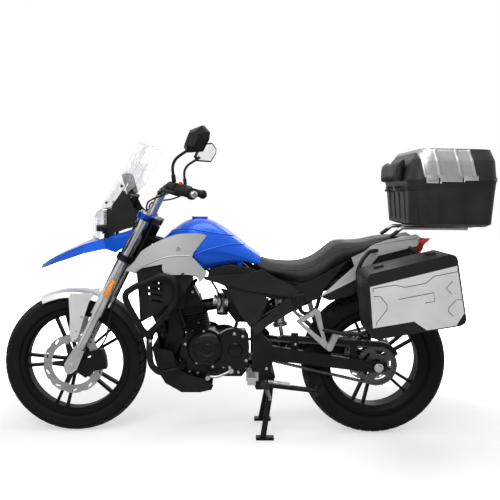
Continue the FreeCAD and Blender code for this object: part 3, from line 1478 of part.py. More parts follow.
BELLY_SHARES = (
    (1.0, 1.0), (0.92, 0.99), (0.66, 0.9), (0.6, 0.55), (0.4, 0.38), (0.14, 0.3), (0.0, 0.16), (0.03, 0.06),
    (0.22, 0.0), (0.52, 0.0), (0.58, 0.05), (0.78, 0.2), (0.88, 0.42), (0.95, 0.72),
)
BELLY_BOSS_SHARES = ((0.365, 0.33),)


def make_belly_pan():
    """An open tray under the engine, held by a boss on each side."""
    rear = mm.belly_front_x - mm.belly_length
    wall = mm.belly_wall
    inner = mm.belly_half - wall
    outline = spread(BELLY_SHARES, rear, mm.belly_length, mm.belly_low_z, mm.belly_height)
    outer = prism(outline, "y", -mm.belly_half, mm.belly_half)
    step = wall * 1.6
    inside = prism([(x, z + step) for x, z in outline], "y", -inner, inner)
    inside_back = prism([(x - step, z + step) for x, z in outline], "y", -inner, inner)
    pan = outer.cut(inside_back.fuse(inside))
    x, z = spread(BELLY_BOSS_SHARES, rear, mm.belly_length, mm.belly_low_z, mm.belly_height)[0]
    boss = rod((x, inner, z), (x, mm.engine_left_half * 0.75, z), wall * 1.4)
    return fused(pan, boss, mirrored(boss))


CRASH_UPPER_SHARES = (
    (0.7369, 0.1189, 0.336), (0.7607, 0.149, 0.3724), (0.7971, 0.1616, 0.4406), (0.8162, 0.1632, 0.4849),
    (0.7813, 0.1648, 0.5087), (0.6973, 0.1648, 0.5468),
    (0.6545, 0.1632, 0.5325), (0.6513, 0.1585, 0.4675), (0.7021, 0.149, 0.3962), (0.7433, 0.1331, 0.3534),
)
CRASH_LOWER_SHARES = (
    (0.7417, 0.1189, 0.3487), (0.7401, 0.1347, 0.317), (0.7338, 0.1458, 0.2583), (0.7052, 0.1395, 0.2298),
    (0.6466, 0.1125, 0.2377), (0.6339, 0.0396, 0.2425),
)
CRASH_CROSS_SHARES = ((0.7385, 0.13, 0.3423),)


def make_crash_bars():
    """Front loop, lower run and the cross tube of the engine guards, clamped on the down tube."""
    radius = mm.crash_bar_radius
    upper = tube(base_points(CRASH_UPPER_SHARES), radius, mm.crash_bar_bend_radius)
    lower = tube(base_points(CRASH_LOWER_SHARES), radius, mm.crash_bar_bend_radius)
    x, half, z = base_points(CRASH_CROSS_SHARES)[0]
    cross = cross_rod(x, half, z, radius * 0.8)
    clamp_half = mm.down_tube_radius * 1.33
    clamp = box(
        (x - radius * 3.7, x + radius * 0.3), (-clamp_half, clamp_half),
        (z - radius * 0.8, z + radius * 0.8)
    )
    return upper.multiFuse([mirrored(upper), lower, mirrored(lower), cross, clamp])


HANGER_SHARES = (
    (0.2742, 0.3962), (0.2124, 0.4374), (0.1981, 0.4342), (0.187, 0.3803), (0.1759, 0.3328),
    (0.1553, 0.3106), (0.168, 0.3011), (0.187, 0.3154),
)
HANGER_WINDOW_SHARES = ((0.2536, 0.3914), (0.2139, 0.4184), (0.2029, 0.3803), (0.1886, 0.3407))
HANGER_BOSS_SHARES = ((0.2552, 0.0824, 0.4057), (0.2108, 0.0824, 0.4263))
GEAR_LEVER_SHARES = (
    (0.4802, 0.0967, 0.2282), (0.5008, 0.0983, 0.2187), (0.5261, 0.0983, 0.2076), (0.5547, 0.0998, 0.2108),
)
BRAKE_PEDAL_SHARES = (
    (0.4057, -0.1109, 0.2076), (0.4437, -0.1157, 0.2155), (0.4834, -0.1157, 0.2187),
    (0.5261, -0.1141, 0.2139),
)


def make_pedal(route, toe_out, root_in):
    """A lever that swings ahead of a peg, with a rubbered toe piece and a boss on its carrier."""
    radius = mm.lever_radius
    side = 1 if route[0].y > 0 else -1
    out = Vector(0, side, 0)
    lever = tube(route, radius, mm.lever_reach)
    toe = rod(route[-1] - out * radius, route[-1] + out * toe_out, radius * 1.5)
    boss = rod(route[0] - out * root_in, route[0] + out * radius, radius * 1.8)
    return fused(lever, toe, boss)


def make_foot_pegs(frame_piece, crankcase_piece):
    """Rider's pegs, folded passenger's pegs on their hangers, the gear lever and the brake pedal."""
    radius = mm.peg_radius
    x = mm.rider_peg_x
    z = mm.rider_peg_z
    root = mm.pivot_plate_inner + mm.pivot_plate_thickness + mm.contact_gap
    bracket = box(
        (x - radius * 2.8, x + radius * 1.33), (root, root + radius * 1.17),
        (z - radius * 1.33, z + radius * 1.67)
    )
    peg = box(
        (x - radius * 1.67, x + radius), (root + radius, root + mm.peg_length + radius),
        (z - radius * 0.83, z + radius)
    )
    ribs = []
    for number in range(int(mm.peg_ribs)):
        side = root + radius * 2 + (mm.peg_length - radius * 2) * number / (mm.peg_ribs - 1)
        ribs.append(box((x - radius * 1.67, x + radius), (side, side + radius * 0.3), (z, z + radius * 1.4)))
    rider = seated(fused(bracket, peg, *ribs), frame_piece)
    inner = mm.hanger_half
    outer = inner + mm.hanger_thickness
    hanger = prism(base_outline(HANGER_SHARES), "y", inner, outer)
    window = prism(base_outline(HANGER_WINDOW_SHARES), "y", inner, outer)
    low = Vector(mm.passenger_peg_x, outer, mm.passenger_peg_z)
    pivot = rod((low.x, inner, low.z), (low.x, outer + radius * 2, low.z), radius)
    folded = box((-radius, radius), (0, radius * 2), (-radius * 0.4, mm.peg_length * 0.8))
    grooves = []
    for number in range(int(mm.peg_ribs)):
        up = radius * 1.6 + (mm.peg_length * 0.8 - radius * 2.4) * number / (mm.peg_ribs - 1)
        grooves.append(box((-radius * 2, radius * 2), (radius * 1.7, radius * 3), (up, up + radius * 0.35)))
    folded = folded.cut(Part.makeCompound(grooves))
    folded.rotate(Vector(0, 0, 0), Vector(0, 1, 0), -mm.peg_fold_degrees)
    folded.translate(low)
    bosses = [
        rod(place, Vector(place.x, inner + radius * 0.1, place.z), mm.boss_radius)
        for place in base_points(HANGER_BOSS_SHARES)
    ]
    second = seated(fused(hanger.cut(window), pivot, folded, *bosses), frame_piece)
    toe = mm.peg_length * 0.4
    gear = seated(
        make_pedal(base_points(GEAR_LEVER_SHARES), toe, mm.lever_radius * 2), crankcase_piece, frame_piece
    )
    brake = seated(
        make_pedal(base_points(BRAKE_PEDAL_SHARES), toe * 0.7, mm.lever_radius * 3), frame_piece,
        crankcase_piece
    )
    return Part.makeCompound([rider, mirrored(rider), second, mirrored(second), gear, brake])


crankcase = make_crankcase()
frame_shape = frame_shape.cut(crankcase)
keep("frame", frame_shape)
keep("engine_crankcase", crankcase)
engine_cylinder = make_cylinder()
keep("engine_cylinder", engine_cylinder)
foot_pegs = make_foot_pegs(frame_shape, crankcase)
keep("foot_pegs", foot_pegs)
keep("exhaust", make_exhaust(engine_cylinder, foot_pegs))
keep("rear_shock", make_rear_shock(swingarm, frame_shape))
keep("belly_pan", make_belly_pan().cut(crankcase))
keep("crash_bars", make_crash_bars().cut(crankcase).cut(frame_shape))

# Bodywork, with outlines as shares of each panel's length and height


def curved_panel(outline, plan_line, thickness, lean_degrees=0.0):
    """A panel with a side outline, bent to a line seen from above: a list of (x, y) from front to rear."""
    outer = list(plan_line)
    inner = [(x, y - thickness) for x, y in reversed(outer)]
    strip = [
        outer[0], outer[1:] if len(outer) > 3 else outer[1], inner[0],
        inner[1:] if len(inner) > 3 else inner[1]
    ]
    lows = [point for item in outline for point in (item if isinstance(item, list) else [item])]
    low = min(z for _, z in lows) - mm.cut_overrun
    high = max(z for _, z in lows) + mm.cut_overrun
    band = prism(strip, "z", low, high)
    widest = max(y for _, y in outer)
    narrowest = min(y for _, y in inner)
    blank = prism(outline, "y", narrowest - mm.cut_overrun, widest + mm.cut_overrun)
    panel = band.common(blank)
    if lean_degrees:
        panel.rotate(Vector(0, widest, low), Vector(1, 0, 0), lean_degrees)
    return panel


TANK_RING_SHARES = (
    (0.0, 1.0), (0.36, 0.985), (0.66, 0.9), (0.88, 0.7), (1.0, 0.42), (0.93, 0.16), (0.72, 0.0), (0.0, 0.0),
)
TANK_STATION_SHARES = (
    # along, half width, low, high
    (0.0, 0.60, 0.03, 0.33),
    (0.13, 0.66, 0.1, 0.5),
    (0.3, 0.78, 0.1, 0.75),
    (0.47, 0.9, 0.06, 0.95),
    (0.66, 0.99, 0.03, 1.0),
    (0.84, 0.86, 0.16, 0.83),
    (1.0, 0.68, 0.34, 0.55),
)


def make_tank_solid(grow):
    """The tank's outer form, a little larger where it stands for the tank's seat."""
    rings = []
    for along, wide, low, high in TANK_STATION_SHARES:
        x = mm.tank_front_x - mm.tank_length * (1 - along) - grow
        z_low = mm.tank_low_z + mm.tank_height * low - grow
        z_high = mm.tank_low_z + mm.tank_height * high + grow
        rings.append(across_ring(x, mm.tank_half * wide + grow, z_low, z_high, TANK_RING_SHARES))
    return Part.makeLoft(rings, True, False)


TANK_PAD_SHARES = (
    # along, half width, foot, top, half length and half thickness over the tunnel's wall
    (0.538, 0.46, 0.28, 0.6, 0.029),
    (0.203, 0.546, 0.056, 0.4, 0.024),
)


def make_tank():
    """The tank over its tunnel, with the filler cap and the pads that stand on the main tubes."""
    body = make_tank_solid(0.0)
    rear = mm.tank_front_x - mm.tank_length
    front = mm.tank_front_x + mm.tank_length * 0.1
    low = mm.tank_low_z - mm.tank_height
    tunnel_rear = mm.tank_low_z + mm.tank_height * 0.12
    tunnel_front = mm.tank_tunnel_z + mm.tank_height * 0.23
    back = rear - mm.cut_overrun
    tunnel_outline = [(back, low), (front, low), (front, tunnel_front), (back, tunnel_rear)]
    tunnel = prism(tunnel_outline, "y", -mm.tank_tunnel_half, mm.tank_tunnel_half)
    cap_foot = Vector(mm.filler_x, 0, mm.tank_low_z + mm.tank_height * 0.8)
    cap = Part.makeCylinder(
        mm.filler_radius, mm.filler_height + mm.tank_height * 0.2, cap_foot, Vector(0, 0, 1)
    )
    pads = []
    for along, side, foot, top, thick in TANK_PAD_SHARES:
        x = rear + mm.tank_length * along
        y = mm.tank_half * side
        half_x = mm.tank_length * thick
        pad = box((x - half_x, x + half_x), (y - half_x, y + half_x),
                  (mm.tank_low_z + mm.tank_height * foot, mm.tank_low_z + mm.tank_height * top))
        pads += [pad, mirrored(pad)]
    return body.cut(tunnel).fuse(cap).multiFuse(pads)


SHROUD_SHARES = [
    (1.0, 0.24), (0.89, 0.42), (0.81, 0.62),
    [(0.67, 0.77), (0.52, 0.89), (0.38, 0.97), (0.22, 1.0), (0.08, 0.99), (0.03, 0.96)],
    (0.18, 0.62), (0.2, 0.52), (0.17, 0.48), (0.02, 0.22), (0.06, 0.09), (0.11, 0.01),
    [(0.4, 0.16), (0.53, 0.21), (0.55, 0.37)],
    (0.86, 0.27), (0.86, 0.17),
]


def make_shroud():
    rear = mm.shroud_rear_x
    outline = spread(SHROUD_SHARES, rear, mm.shroud_length, mm.shroud_low_z, mm.shroud_height)
    front = rear + mm.shroud_length
    line = [
        (front + mm.cut_overrun, mm.shroud_front_half),
        (rear + mm.shroud_length * 0.7, mm.shroud_half * 0.985),
        (rear + mm.shroud_length * 0.45, mm.shroud_half),
        (rear + mm.shroud_length * 0.2, mm.shroud_half * 0.94),
        (rear - mm.cut_overrun, mm.shroud_half * 0.84),
    ]
    return curved_panel(outline, line, mm.panel_thickness, mm.shroud_lean_degrees)


SIDE_COWL_SHARES = [
    (1.0, 0.95), (0.57, 1.08), (0.5, 0.95), (0.16, 0.88), (0.0, 0.76), (0.24, 0.43), (0.5, 0.29),
    (0.59, 0.19),
    (0.9, 0.02), (0.93, 0.0), (0.95, 0.39),
]
SHROUD_BOSS_SHARES = ((0.364, 0.672), (0.606, 0.571))
COWL_BOSS_SHARES = ((0.187, 0.845), (0.63, 1.038))


def shroud_bosses():
    """Bosses behind the shroud that stand on the tank."""
    reach = mm.shroud_half * 0.905
    places = spread(SHROUD_BOSS_SHARES, mm.shroud_rear_x, mm.shroud_length, mm.shroud_low_z, mm.shroud_height)
    return [rod((x, mm.tank_half * 0.6, z), (x, reach, z), mm.boss_radius) for x, z in places]


def cowl_bosses():
    """Bosses on the side cowl that stand on the shroud's back."""
    root = mm.side_cowl_half - mm.panel_thickness
    places = spread(
        COWL_BOSS_SHARES, mm.side_cowl_rear_x, mm.side_cowl_length, mm.side_cowl_low_z, mm.side_cowl_height
    )
    return [rod((x, root, z), (x, mm.shroud_half * 1.15, z), mm.boss_radius * 0.6) for x, z in places]


def make_side_cowl():
    """A flat panel with a stack of slanted air slots."""
    rear = mm.side_cowl_rear_x
    outline = spread(SIDE_COWL_SHARES, rear, mm.side_cowl_length, mm.side_cowl_low_z, mm.side_cowl_height)
    panel = prism(outline, "y", mm.side_cowl_half - mm.panel_thickness, mm.side_cowl_half)
    start = rear + mm.side_cowl_length * 0.66 - mm.slat_length / 2
    end = start + mm.slat_length
    for number in range(int(mm.slat_count)):
        low = mm.side_cowl_low_z + mm.side_cowl_height * 0.34 + mm.slat_pitch * number
        high = low + mm.slat_height
        slot = [(start, low), (end, high), (end, high + mm.slat_height), (start, high)]
        panel = panel.cut(
            prism(slot, "y", mm.side_cowl_half - mm.panel_thickness * 2, mm.side_cowl_half + mm.cut_overrun)
        )
    return panel


SEAT_TOP_SHARES = ((1.0, 0.69), (0.95, 0.66), (0.91, 0.55), (0.83, 0.43), (0.7, 0.395), (0.57, 0.485), (0.49, 0.66), (0.43, 0.81),
                   (0.34, 0.865), (0.18, 0.925), (0.04, 0.99), (0.0, 0.99))
SEAT_LOW_SHARES = ((1.0, 0.6), (0.95, 0.42), (0.91, 0.28), (0.83, 0.18), (0.7, 0.08), (0.57, 0.06), (0.49, 0.2), (0.43, 0.36),
                   (0.34, 0.52), (0.18, 0.76), (0.04, 0.92), (0.0, 0.95))
SEAT_HALF_SHARES = (0.62, 0.66, 0.74, 0.9, 1.0, 1.0, 0.97, 0.94, 0.92, 0.84, 0.66, 0.6)
SEAT_RING_SHARES = ((0.0, 1.0), (0.5, 0.985), (0.8, 0.88), (0.96, 0.62), (1.0, 0.3), (0.9, 0.0), (0.0, 0.0))


def make_seat():
    """A scooped rider's part and a raised passenger's part, over the tank's tail."""
    front = mm.tank_front_x - mm.tank_length + mm.seat_lap
    length = front - mm.seat_rear_x
    rings = []
    for top, low, wide in zip(SEAT_TOP_SHARES, SEAT_LOW_SHARES, SEAT_HALF_SHARES):
        x = mm.seat_rear_x + length * top[0]
        z_high = mm.seat_low_z + mm.seat_height * top[1]
        z_low = mm.seat_low_z + mm.seat_height * low[1]
        rings.append(across_ring(x, mm.seat_half * wide, z_low, z_high, SEAT_RING_SHARES))
    return Part.makeLoft(rings, True, False)


TAIL_SHARES = [
    (1.0, 0.05), (0.82, 0.32), (0.68, 0.52), (0.71, 0.65), (0.59, 0.74), (0.52, 0.83), (0.36, 0.92),
    (0.08, 1.0),
    (0.0, 0.93), (0.07, 0.82), (0.45, 0.68), (0.62, 0.36),
]
TAIL_LOWER_SHARES = [
    (0.985, 0.05), (0.9, 0.0), (0.7, 0.08), (0.5, 0.36), (0.26, 0.56), (0.1, 0.66), (0.0, 0.78), (0.0, 0.88),
    (0.1, 0.84), (0.47, 0.71), (0.65, 0.4),
]


def tail_line(inset):
    rear = mm.tail_rear_x
    return [
        (rear + mm.tail_length + mm.cut_overrun, mm.tail_front_half - inset),
        (rear + mm.tail_length * 0.6, mm.tail_front_half * 1.0 - inset),
        (rear + mm.tail_length * 0.3, mm.tail_front_half * 0.86 - inset),
        (rear - mm.cut_overrun, mm.tail_rear_half - inset),
    ]


def make_tail_panel(shares, inset):
    outline = spread(shares, mm.tail_rear_x, mm.tail_length, mm.tail_low_z, mm.tail_height)
    return curved_panel(outline, tail_line(inset), mm.panel_thickness)


TAIL_LAMP_SHARES = ((1.0, 0.0), (0.0, 1.0), (0.35, 1.0), (0.55, 0.62), (1.0, 0.2))
LAMP_STEM_SHARES = ((0.757, -0.114), (0.973, -0.114), (0.973, 0.227), (0.757, 0.227))


def make_tail_lamp():
    """A wedge of red lens on a stem from the mudguard."""
    sizes = (mm.lamp_rear_x, mm.lamp_length, mm.lamp_low_z, mm.lamp_height)
    stem_half = mm.lamp_half * 0.355
    stem = prism(spread(LAMP_STEM_SHARES, *sizes), "y", -stem_half, stem_half)
    return fused(prism(spread(TAIL_LAMP_SHARES, *sizes), "y", -mm.lamp_half, mm.lamp_half), stem)


def indicator_pod(x, half, z):
    """A pod that tapers to its tip, flat ahead."""
    outer = half + mm.indicator_radius * 1.6
    rings = []
    for side, share in ((half - mm.indicator_radius, 0.6), (half, 1.0), (outer, 0.62)):
        high = mm.indicator_radius * share
        length = mm.indicator_length / 2 * share
        corners = [Vector(x - length, side, z - high * 0.5), Vector(x - length * 0.4, side, z - high), Vector(x + length, side, z - high * 0.8),
                   Vector(x + length, side, z + high * 0.8), Vector(x - length * 0.4, side, z + high), Vector(x - length, side, z + high * 0.5)]
        rings.append(Part.makePolygon(corners + [corners[0]]))
    return Part.makeLoft(rings, True, True)


def make_indicators(tail_lower, cowl):
    """Rear lamps on stalks beside the tail; the front ones stand on the cowl's cheeks."""
    pods = []
    for x, z, half, root, carrier in (
        (mm.rear_indicator_x, mm.rear_indicator_z, mm.rear_indicator_half, mm.tail_rear_half * 0.95, tail_lower),
        (mm.front_indicator_x, mm.front_indicator_z, mm.front_indicator_half, mm.cowl_half - mm.cowl_thickness / 2, cowl),
    ):
        stalk = rod(
            (x + mm.indicator_radius, root, z + mm.indicator_radius * 1.6), (x, half, z),
            mm.indicator_stem_radius
        )
        if carrier is cowl:
            stalk = rod((x, root, z), (x, half, z), mm.indicator_stem_radius)
        pods.append(seated(fused(stalk, indicator_pod(x, half, z)), carrier))
        pods.append(mirrored(pods[-1]))
    return Part.makeCompound(pods)


MUDGUARD_TOP_SHARES = ((-0.0475, 0.588), (-0.1189, 0.588), (-0.1632, 0.5674))
MUDGUARD_UNDER_SHARES = ((-0.1506, 0.5547), (-0.1109, 0.5721), (-0.0475, 0.5721))
MUDGUARD_HANGER_SHARES = ((-0.0824, 0.5784), (-0.0618, 0.5784), (-0.0618, 0.6307), (-0.0824, 0.6307))


def make_rear_mudguard():
    """A blade from under the tail down behind the wheel to the plate's foot."""
    half = mm.mudguard_half
    wall = mm.mudguard_wall
    x = mm.mudguard_rear_x
    z = mm.mudguard_rear_z
    tip = [(x, z + wall * 2.5), (x + wall * 1.5, z), (x + wall * 4, z)]
    outline = base_outline(MUDGUARD_TOP_SHARES) + tip + base_outline(MUDGUARD_UNDER_SHARES)
    hanger = prism(base_outline(MUDGUARD_HANGER_SHARES), "y", half - wall * 2, half)
    return fused(prism(outline, "y", -half, half), hanger, mirrored(hanger))


AIRBOX_SHARES = [(1.0, 1.0), (0.22, 0.85), (0.0, 0.62), (0.22, 0.1), (0.4, 0.0), (0.62, 0.28)]
SPAR_SHARES = [
    (1.0, 0.7), (0.78, 0.8), (0.57, 0.82), (0.4, 1.0), (0.0, 0.25), (0.04, 0.0), (0.57, 0.27), (0.98, 0.62),
]
SPAR_FOOT_SHARES = ((0.0746, 0.161), (0.275, 0.393))


def make_side_covers():
    """Grey frame beams and the covers below them."""
    outline = spread(AIRBOX_SHARES, mm.airbox_rear_x, mm.airbox_length, mm.airbox_low_z, mm.airbox_height)
    cover = prism(outline, "y", mm.airbox_half, mm.airbox_half + mm.panel_thickness)
    sizes = (mm.spar_rear_x, mm.spar_length, mm.spar_low_z, mm.spar_height)
    inner = mm.spar_half - mm.spar_thickness
    spar = prism(spread(SPAR_SHARES, *sizes), "y", inner, mm.spar_half)
    cap_at = (mm.spar_rear_x, mm.spar_half + mm.panel_thickness, mm.spar_low_z)
    cap = rod((mm.spar_rear_x, inner, mm.spar_low_z), cap_at, mm.spar_cap_radius)
    feet = [
        rod((x, mm.spar_half * 0.61, z), (x, mm.spar_half - mm.spar_thickness * 0.2, z), mm.boss_radius)
        for x, z in spread(SPAR_FOOT_SHARES, *sizes)
    ]
    return fused(cover, spar, cap, *feet)


tank = make_tank().cut(frame_shape)
keep("tank", tank)
shroud = make_shroud()
keep("shrouds", pair(seated(shroud.multiFuse(shroud_bosses()), tank)))
keep("side_cowls", pair(seated(make_side_cowl().multiFuse(cowl_bosses()), shroud)))
tail_panels = pair(make_tail_panel(TAIL_SHARES, 0.0))
side_covers = pair(seated(make_side_covers(), frame_shape))
seat_shape = make_seat().cut(make_tank_solid(mm.contact_gap)).cut(tail_panels).cut(frame_shape).cut(
    side_covers
)
keep("seat", seat_shape)
keep("tail_panels", tail_panels)
tail_lower = pair(make_tail_panel(TAIL_LOWER_SHARES, mm.tail_lower_inset)).cut(frame_shape)
keep("tail_lower_panels", tail_lower)
tail_lamp = make_tail_lamp()
keep("tail_lamp", tail_lamp)
keep("rear_mudguard", seated(make_rear_mudguard(), frame_shape, tail_lamp))
keep("side_covers", side_covers)

# Luggage: plate, racks, top case and panniers


GRAB_SHARES = ((-0.0317, 0.0729, 0.6704), (-0.0491, 0.0729, 0.683), (-0.0666, 0.0697, 0.0))
RACK_LOOP_SHARES = (
    (0.0158, 0.561, 0.626), (0.0475, 0.774, 0.6244), (0.0777, 1.0, 0.6006), (0.0903, 1.0, 0.5642),
    (0.0872, 1.0, 0.5071), (0.0666, 1.0, 0.4437), (0.0523, 1.0, 0.3819),
    (0.0079, 1.0, 0.3756), (-0.1189, 1.0, 0.4057), (-0.1474, 1.0, 0.4437), (-0.1395, 1.0, 0.5547),
    (-0.1189, 1.0, 0.6038), (-0.103, 0.726, 0.626), (-0.0951, 0.464, 0.6339),
)
RACK_ARM_SHARES = (
    (0.0491, 1.0, 0.3788), (0.0713, 0.99, 0.3677), (0.1268, 0.861, 0.3629), (0.1933, 0.6386, 0.3693),
)
RACK_LEG_SHARES = ((-0.0856, 0.046, 0.0), (-0.1062, 0.0507, 0.6387))


def make_luggage_rack():
    """The plate under the top case with its grab tubes, and the pannier loops hung from the tail."""
    rear = mm.case_front_x - mm.case_length * 0.86
    front = rear + mm.plate_length
    top = mm.case_low_z - mm.contact_gap
    low = top - mm.plate_thickness
    nose = front + mm.plate_length * 0.08
    plate_outline = [
        (rear, -mm.plate_half * 0.7), (front, -mm.plate_half * 0.8),
        [(nose, 0), (front, mm.plate_half * 0.8)], (rear, mm.plate_half * 0.7),
    ]
    plate = prism(plate_outline, "z", low, top)
    radius = mm.rack_tube_radius
    bend = mm.rack_bend_radius
    tube_z = low - radius * 0.4
    grab_route = base_points(GRAB_SHARES)
    grab_route[-1].z = tube_z
    grab_route.append(Vector(rear + radius * 2.5, mm.plate_half * 0.636, tube_z))
    grab = tube(grab_route, radius, bend)
    rack_half = mm.pannier_inner_half - radius - mm.contact_gap
    loop = tube(beside_points(RACK_LOOP_SHARES, rack_half), radius, bend)
    arm_route = beside_points(RACK_ARM_SHARES, rack_half)
    arm_route[-1].y = mm.hanger_half
    arm = tube(arm_route, radius, bend)
    leg_top, leg_foot = base_points(RACK_LEG_SHARES)
    leg_top.z = low + mm.plate_thickness / 2
    leg = rod(leg_top, leg_foot, radius)
    side = seated(loop.fuse(arm), tail_panels, tail_lower, foot_pegs)
    upper = seated(
        fused(plate, grab, mirrored(grab), leg, mirrored(leg)), tail_panels, frame_shape, seat_shape
    )
    return Part.makeCompound([upper, side, mirrored(side)])


CASE_LEVEL_SHARES = (
    # level, front inset, side inset
    (0.0, 0.17, 0.18),
    (0.035, 0.08, 0.08),
    (0.46, 0.05, 0.02),
    (0.6, 0.03, 0.0),
    (0.86, 0.08, 0.03),
    (1.0, 0.16, 0.13),
)


def case_solid(inset):
    """The top case's outside, or its inside when an inset is given."""
    rings = []
    for level, along, side in CASE_LEVEL_SHARES:
        z = mm.case_low_z + mm.case_height * level
        if level == 0.0:
            z += inset
        if level == 1.0:
            z -= inset
        x_low = mm.case_front_x - mm.case_length * (1 - along * 0.4) + inset
        x_high = mm.case_front_x - mm.case_length * along - inset
        half = mm.case_half * (1 - side) - inset
        rings.append(rounded_ring(z, x_low, x_high, half, mm.case_corner_radius - inset))
    return Part.makeLoft(rings, True, True)


def case_halfspace(above, gap):
    """Everything above or below the slanted seam."""
    reach = mm.case_length * 2
    height = reach if above else -reach
    block = box((-reach, reach), (-reach, reach), (gap if above else -gap, height))
    block.rotate(Vector(0, 0, 0), Vector(0, 1, 0), mm.case_seam_rise_degrees)
    block.translate(Vector(mm.case_front_x, 0, mm.case_seam_z))
    return block


def make_top_case():
    """Base and lid with the flange round their seam, hinge knuckles in front and a latch behind."""
    wall = mm.case_wall
    outside = case_solid(0.0)
    flange = case_solid(-mm.case_flange).common(case_halfspace(True, -wall * 2)).common(
        case_halfspace(False, -wall * 2)
    )
    shell = outside.fuse(flange).cut(case_solid(wall))
    half_gap = mm.case_seam_gap / 2
    base = whole(shell.common(case_halfspace(False, half_gap)))
    lid = whole(shell.common(case_halfspace(True, half_gap)))
    radius = mm.case_hinge_radius
    x = mm.case_front_x + radius * 0.5
    z = mm.case_seam_z - radius
    root = x - radius * 4
    solid = outside.fuse(flange)
    pin_radius = radius * 0.4
    end = mm.case_knuckle_half + mm.case_knuckle_length
    for side in (-1, 1):
        near = side * mm.case_knuckle_half
        middle = side * (mm.case_knuckle_half + mm.case_knuckle_length / 2)
        far = side * end
        low_lug = box((root, x), (middle + side * mm.contact_gap, far), (z - radius, z))
        barrel = rod((x, middle + side * mm.contact_gap, z), (x, far, z), radius)
        pin = rod((x, near, z), (x, far, z), pin_radius)
        base = base.fuse(low_lug.cut(solid)).fuse(barrel).fuse(pin)
        lug_low = mm.case_seam_z + radius * 0.5
        high_lug = box((root, x + radius), (near, middle), (lug_low, lug_low + radius))
        drop = box((x, x + radius), (near, middle), (z, lug_low + radius))
        barrel = rod((x, near, z), (x, middle, z), radius)
        bore = rod(
            (x, near - side * mm.contact_gap, z), (x, middle + side * mm.contact_gap, z),
            pin_radius + mm.contact_gap
        )
        room = rod(
            (x, near - side * mm.contact_gap, z), (x, middle + side * mm.contact_gap, z),
            radius + mm.contact_gap
        )
        base = base.cut(room).fuse(pin)
        lid = lid.cut(rod((x, middle, z), (x, far + side * mm.contact_gap, z), radius + mm.contact_gap))
        lid = lid.fuse(high_lug.cut(solid).fuse(drop).fuse(barrel).cut(bore))
    rear = mm.case_front_x - mm.case_length
    half = mm.latch_width
    latch_top = mm.case_seam_z + half * 2
    latch = box((rear - mm.latch_height, rear + mm.latch_height), (-half, half), (mm.case_seam_z, latch_top))
    below_range = (mm.case_seam_z - half, mm.case_seam_z + mm.latch_reach)
    below = box((rear - mm.latch_height, rear + mm.latch_reach * 2), (-half, half), below_range)
    latch = latch.cut(case_solid(-mm.case_flange - mm.case_seam_gap))
    latch = latch.fuse(below.cut(solid).cut(case_halfspace(True, 0.0)))
    return whole(base.fuse(latch)), whole(lid)


BACKREST_SHARES = ((0.01, 0.0), (1.0, 0.1), (0.9, 0.8), (0.09, 1.0), (-0.19, 1.0))


def make_backrest_pad():
    """A soft pad on the front of the lid, plain and closed."""
    front = mm.case_front_x - mm.case_length * 0.03
    outline = spread(BACKREST_SHARES, front, mm.pad_thickness, mm.pad_low_z, mm.pad_height)
    pad_solid = prism(outline, "y", -mm.pad_half, mm.pad_half)
    return pad_solid.cut(case_solid(-mm.contact_gap)).cut(
        case_solid(-mm.case_flange).common(case_halfspace(False, -mm.case_wall * 3))
    )


PANNIER_SHARES = ((0.93, 0.0), (0.0, 0.19), (0.13, 1.0), (1.0, 0.74))


def pannier_outline(inset):
    rear = mm.pannier_front_x - mm.pannier_length
    corners = [
        Vector(x, 0, z)
        for x, z in spread(PANNIER_SHARES, rear, mm.pannier_length, mm.pannier_low_z, mm.pannier_height)
    ]
    centre = sum(corners, Vector()) * 0.25
    count = len(corners)
    lines = []
    for number, corner in enumerate(corners):
        edge = corners[(number + 1) % count] - corner
        normal = Vector(-edge.z, 0, edge.x).normalize()
        if normal.dot(centre - corner) < 0:
            normal = normal * -1
        lines.append((corner + normal * inset, edge))
    inner = []
    for number in range(count):
        start, edge = lines[number]
        before, other = lines[number - 1]
        cross = edge.x * other.z - edge.z * other.x
        step = ((before.x - start.x) * other.z - (before.z - start.z) * other.x) / cross
        inner.append(start + edge * step)
    outline = []
    radius = mm.pannier_corner_radius - inset
    for number, corner in enumerate(inner):
        before = (inner[number - 1] - corner).normalize()
        after = (inner[(number + 1) % count] - corner).normalize()
        turn = math.pi - before.getAngle(after)
        reach = radius * math.tan(turn / 2)
        middle = corner + (before + after).normalize() * (radius / math.cos(turn / 2) - radius)
        enter = corner + before * reach
        leave = corner + after * reach
        outline.append((enter.x, enter.z))
        outline.append([(middle.x, middle.z), (leave.x, leave.z)])
    return outline, inner


PANNIER_KNUCKLE_SHARES = ((0.08, 0.2), (0.2, 0.42), (0.42, 0.58), (0.58, 0.8), (0.8, 0.92))
PANNIER_LATCH_SHARES = (0.2, 0.8)


def edge_block(start, along, out, span, sides, heights):
    """A block beside an edge of the pannier, from shares of the edge, sides of the seam and heights off the face."""
    foot = start + along * span[0] + Vector(0, mm.pannier_seam_half, 0)
    corners = [foot + Vector(0, side, 0) + out * height
               for side, height in ((sides[0], heights[0]), (sides[1], heights[0]), (sides[1], heights[1]), (sides[0], heights[1]))]
    return Part.Face(Part.makePolygon(corners + [corners[0]])).extrude(along * (span[1] - span[0]))


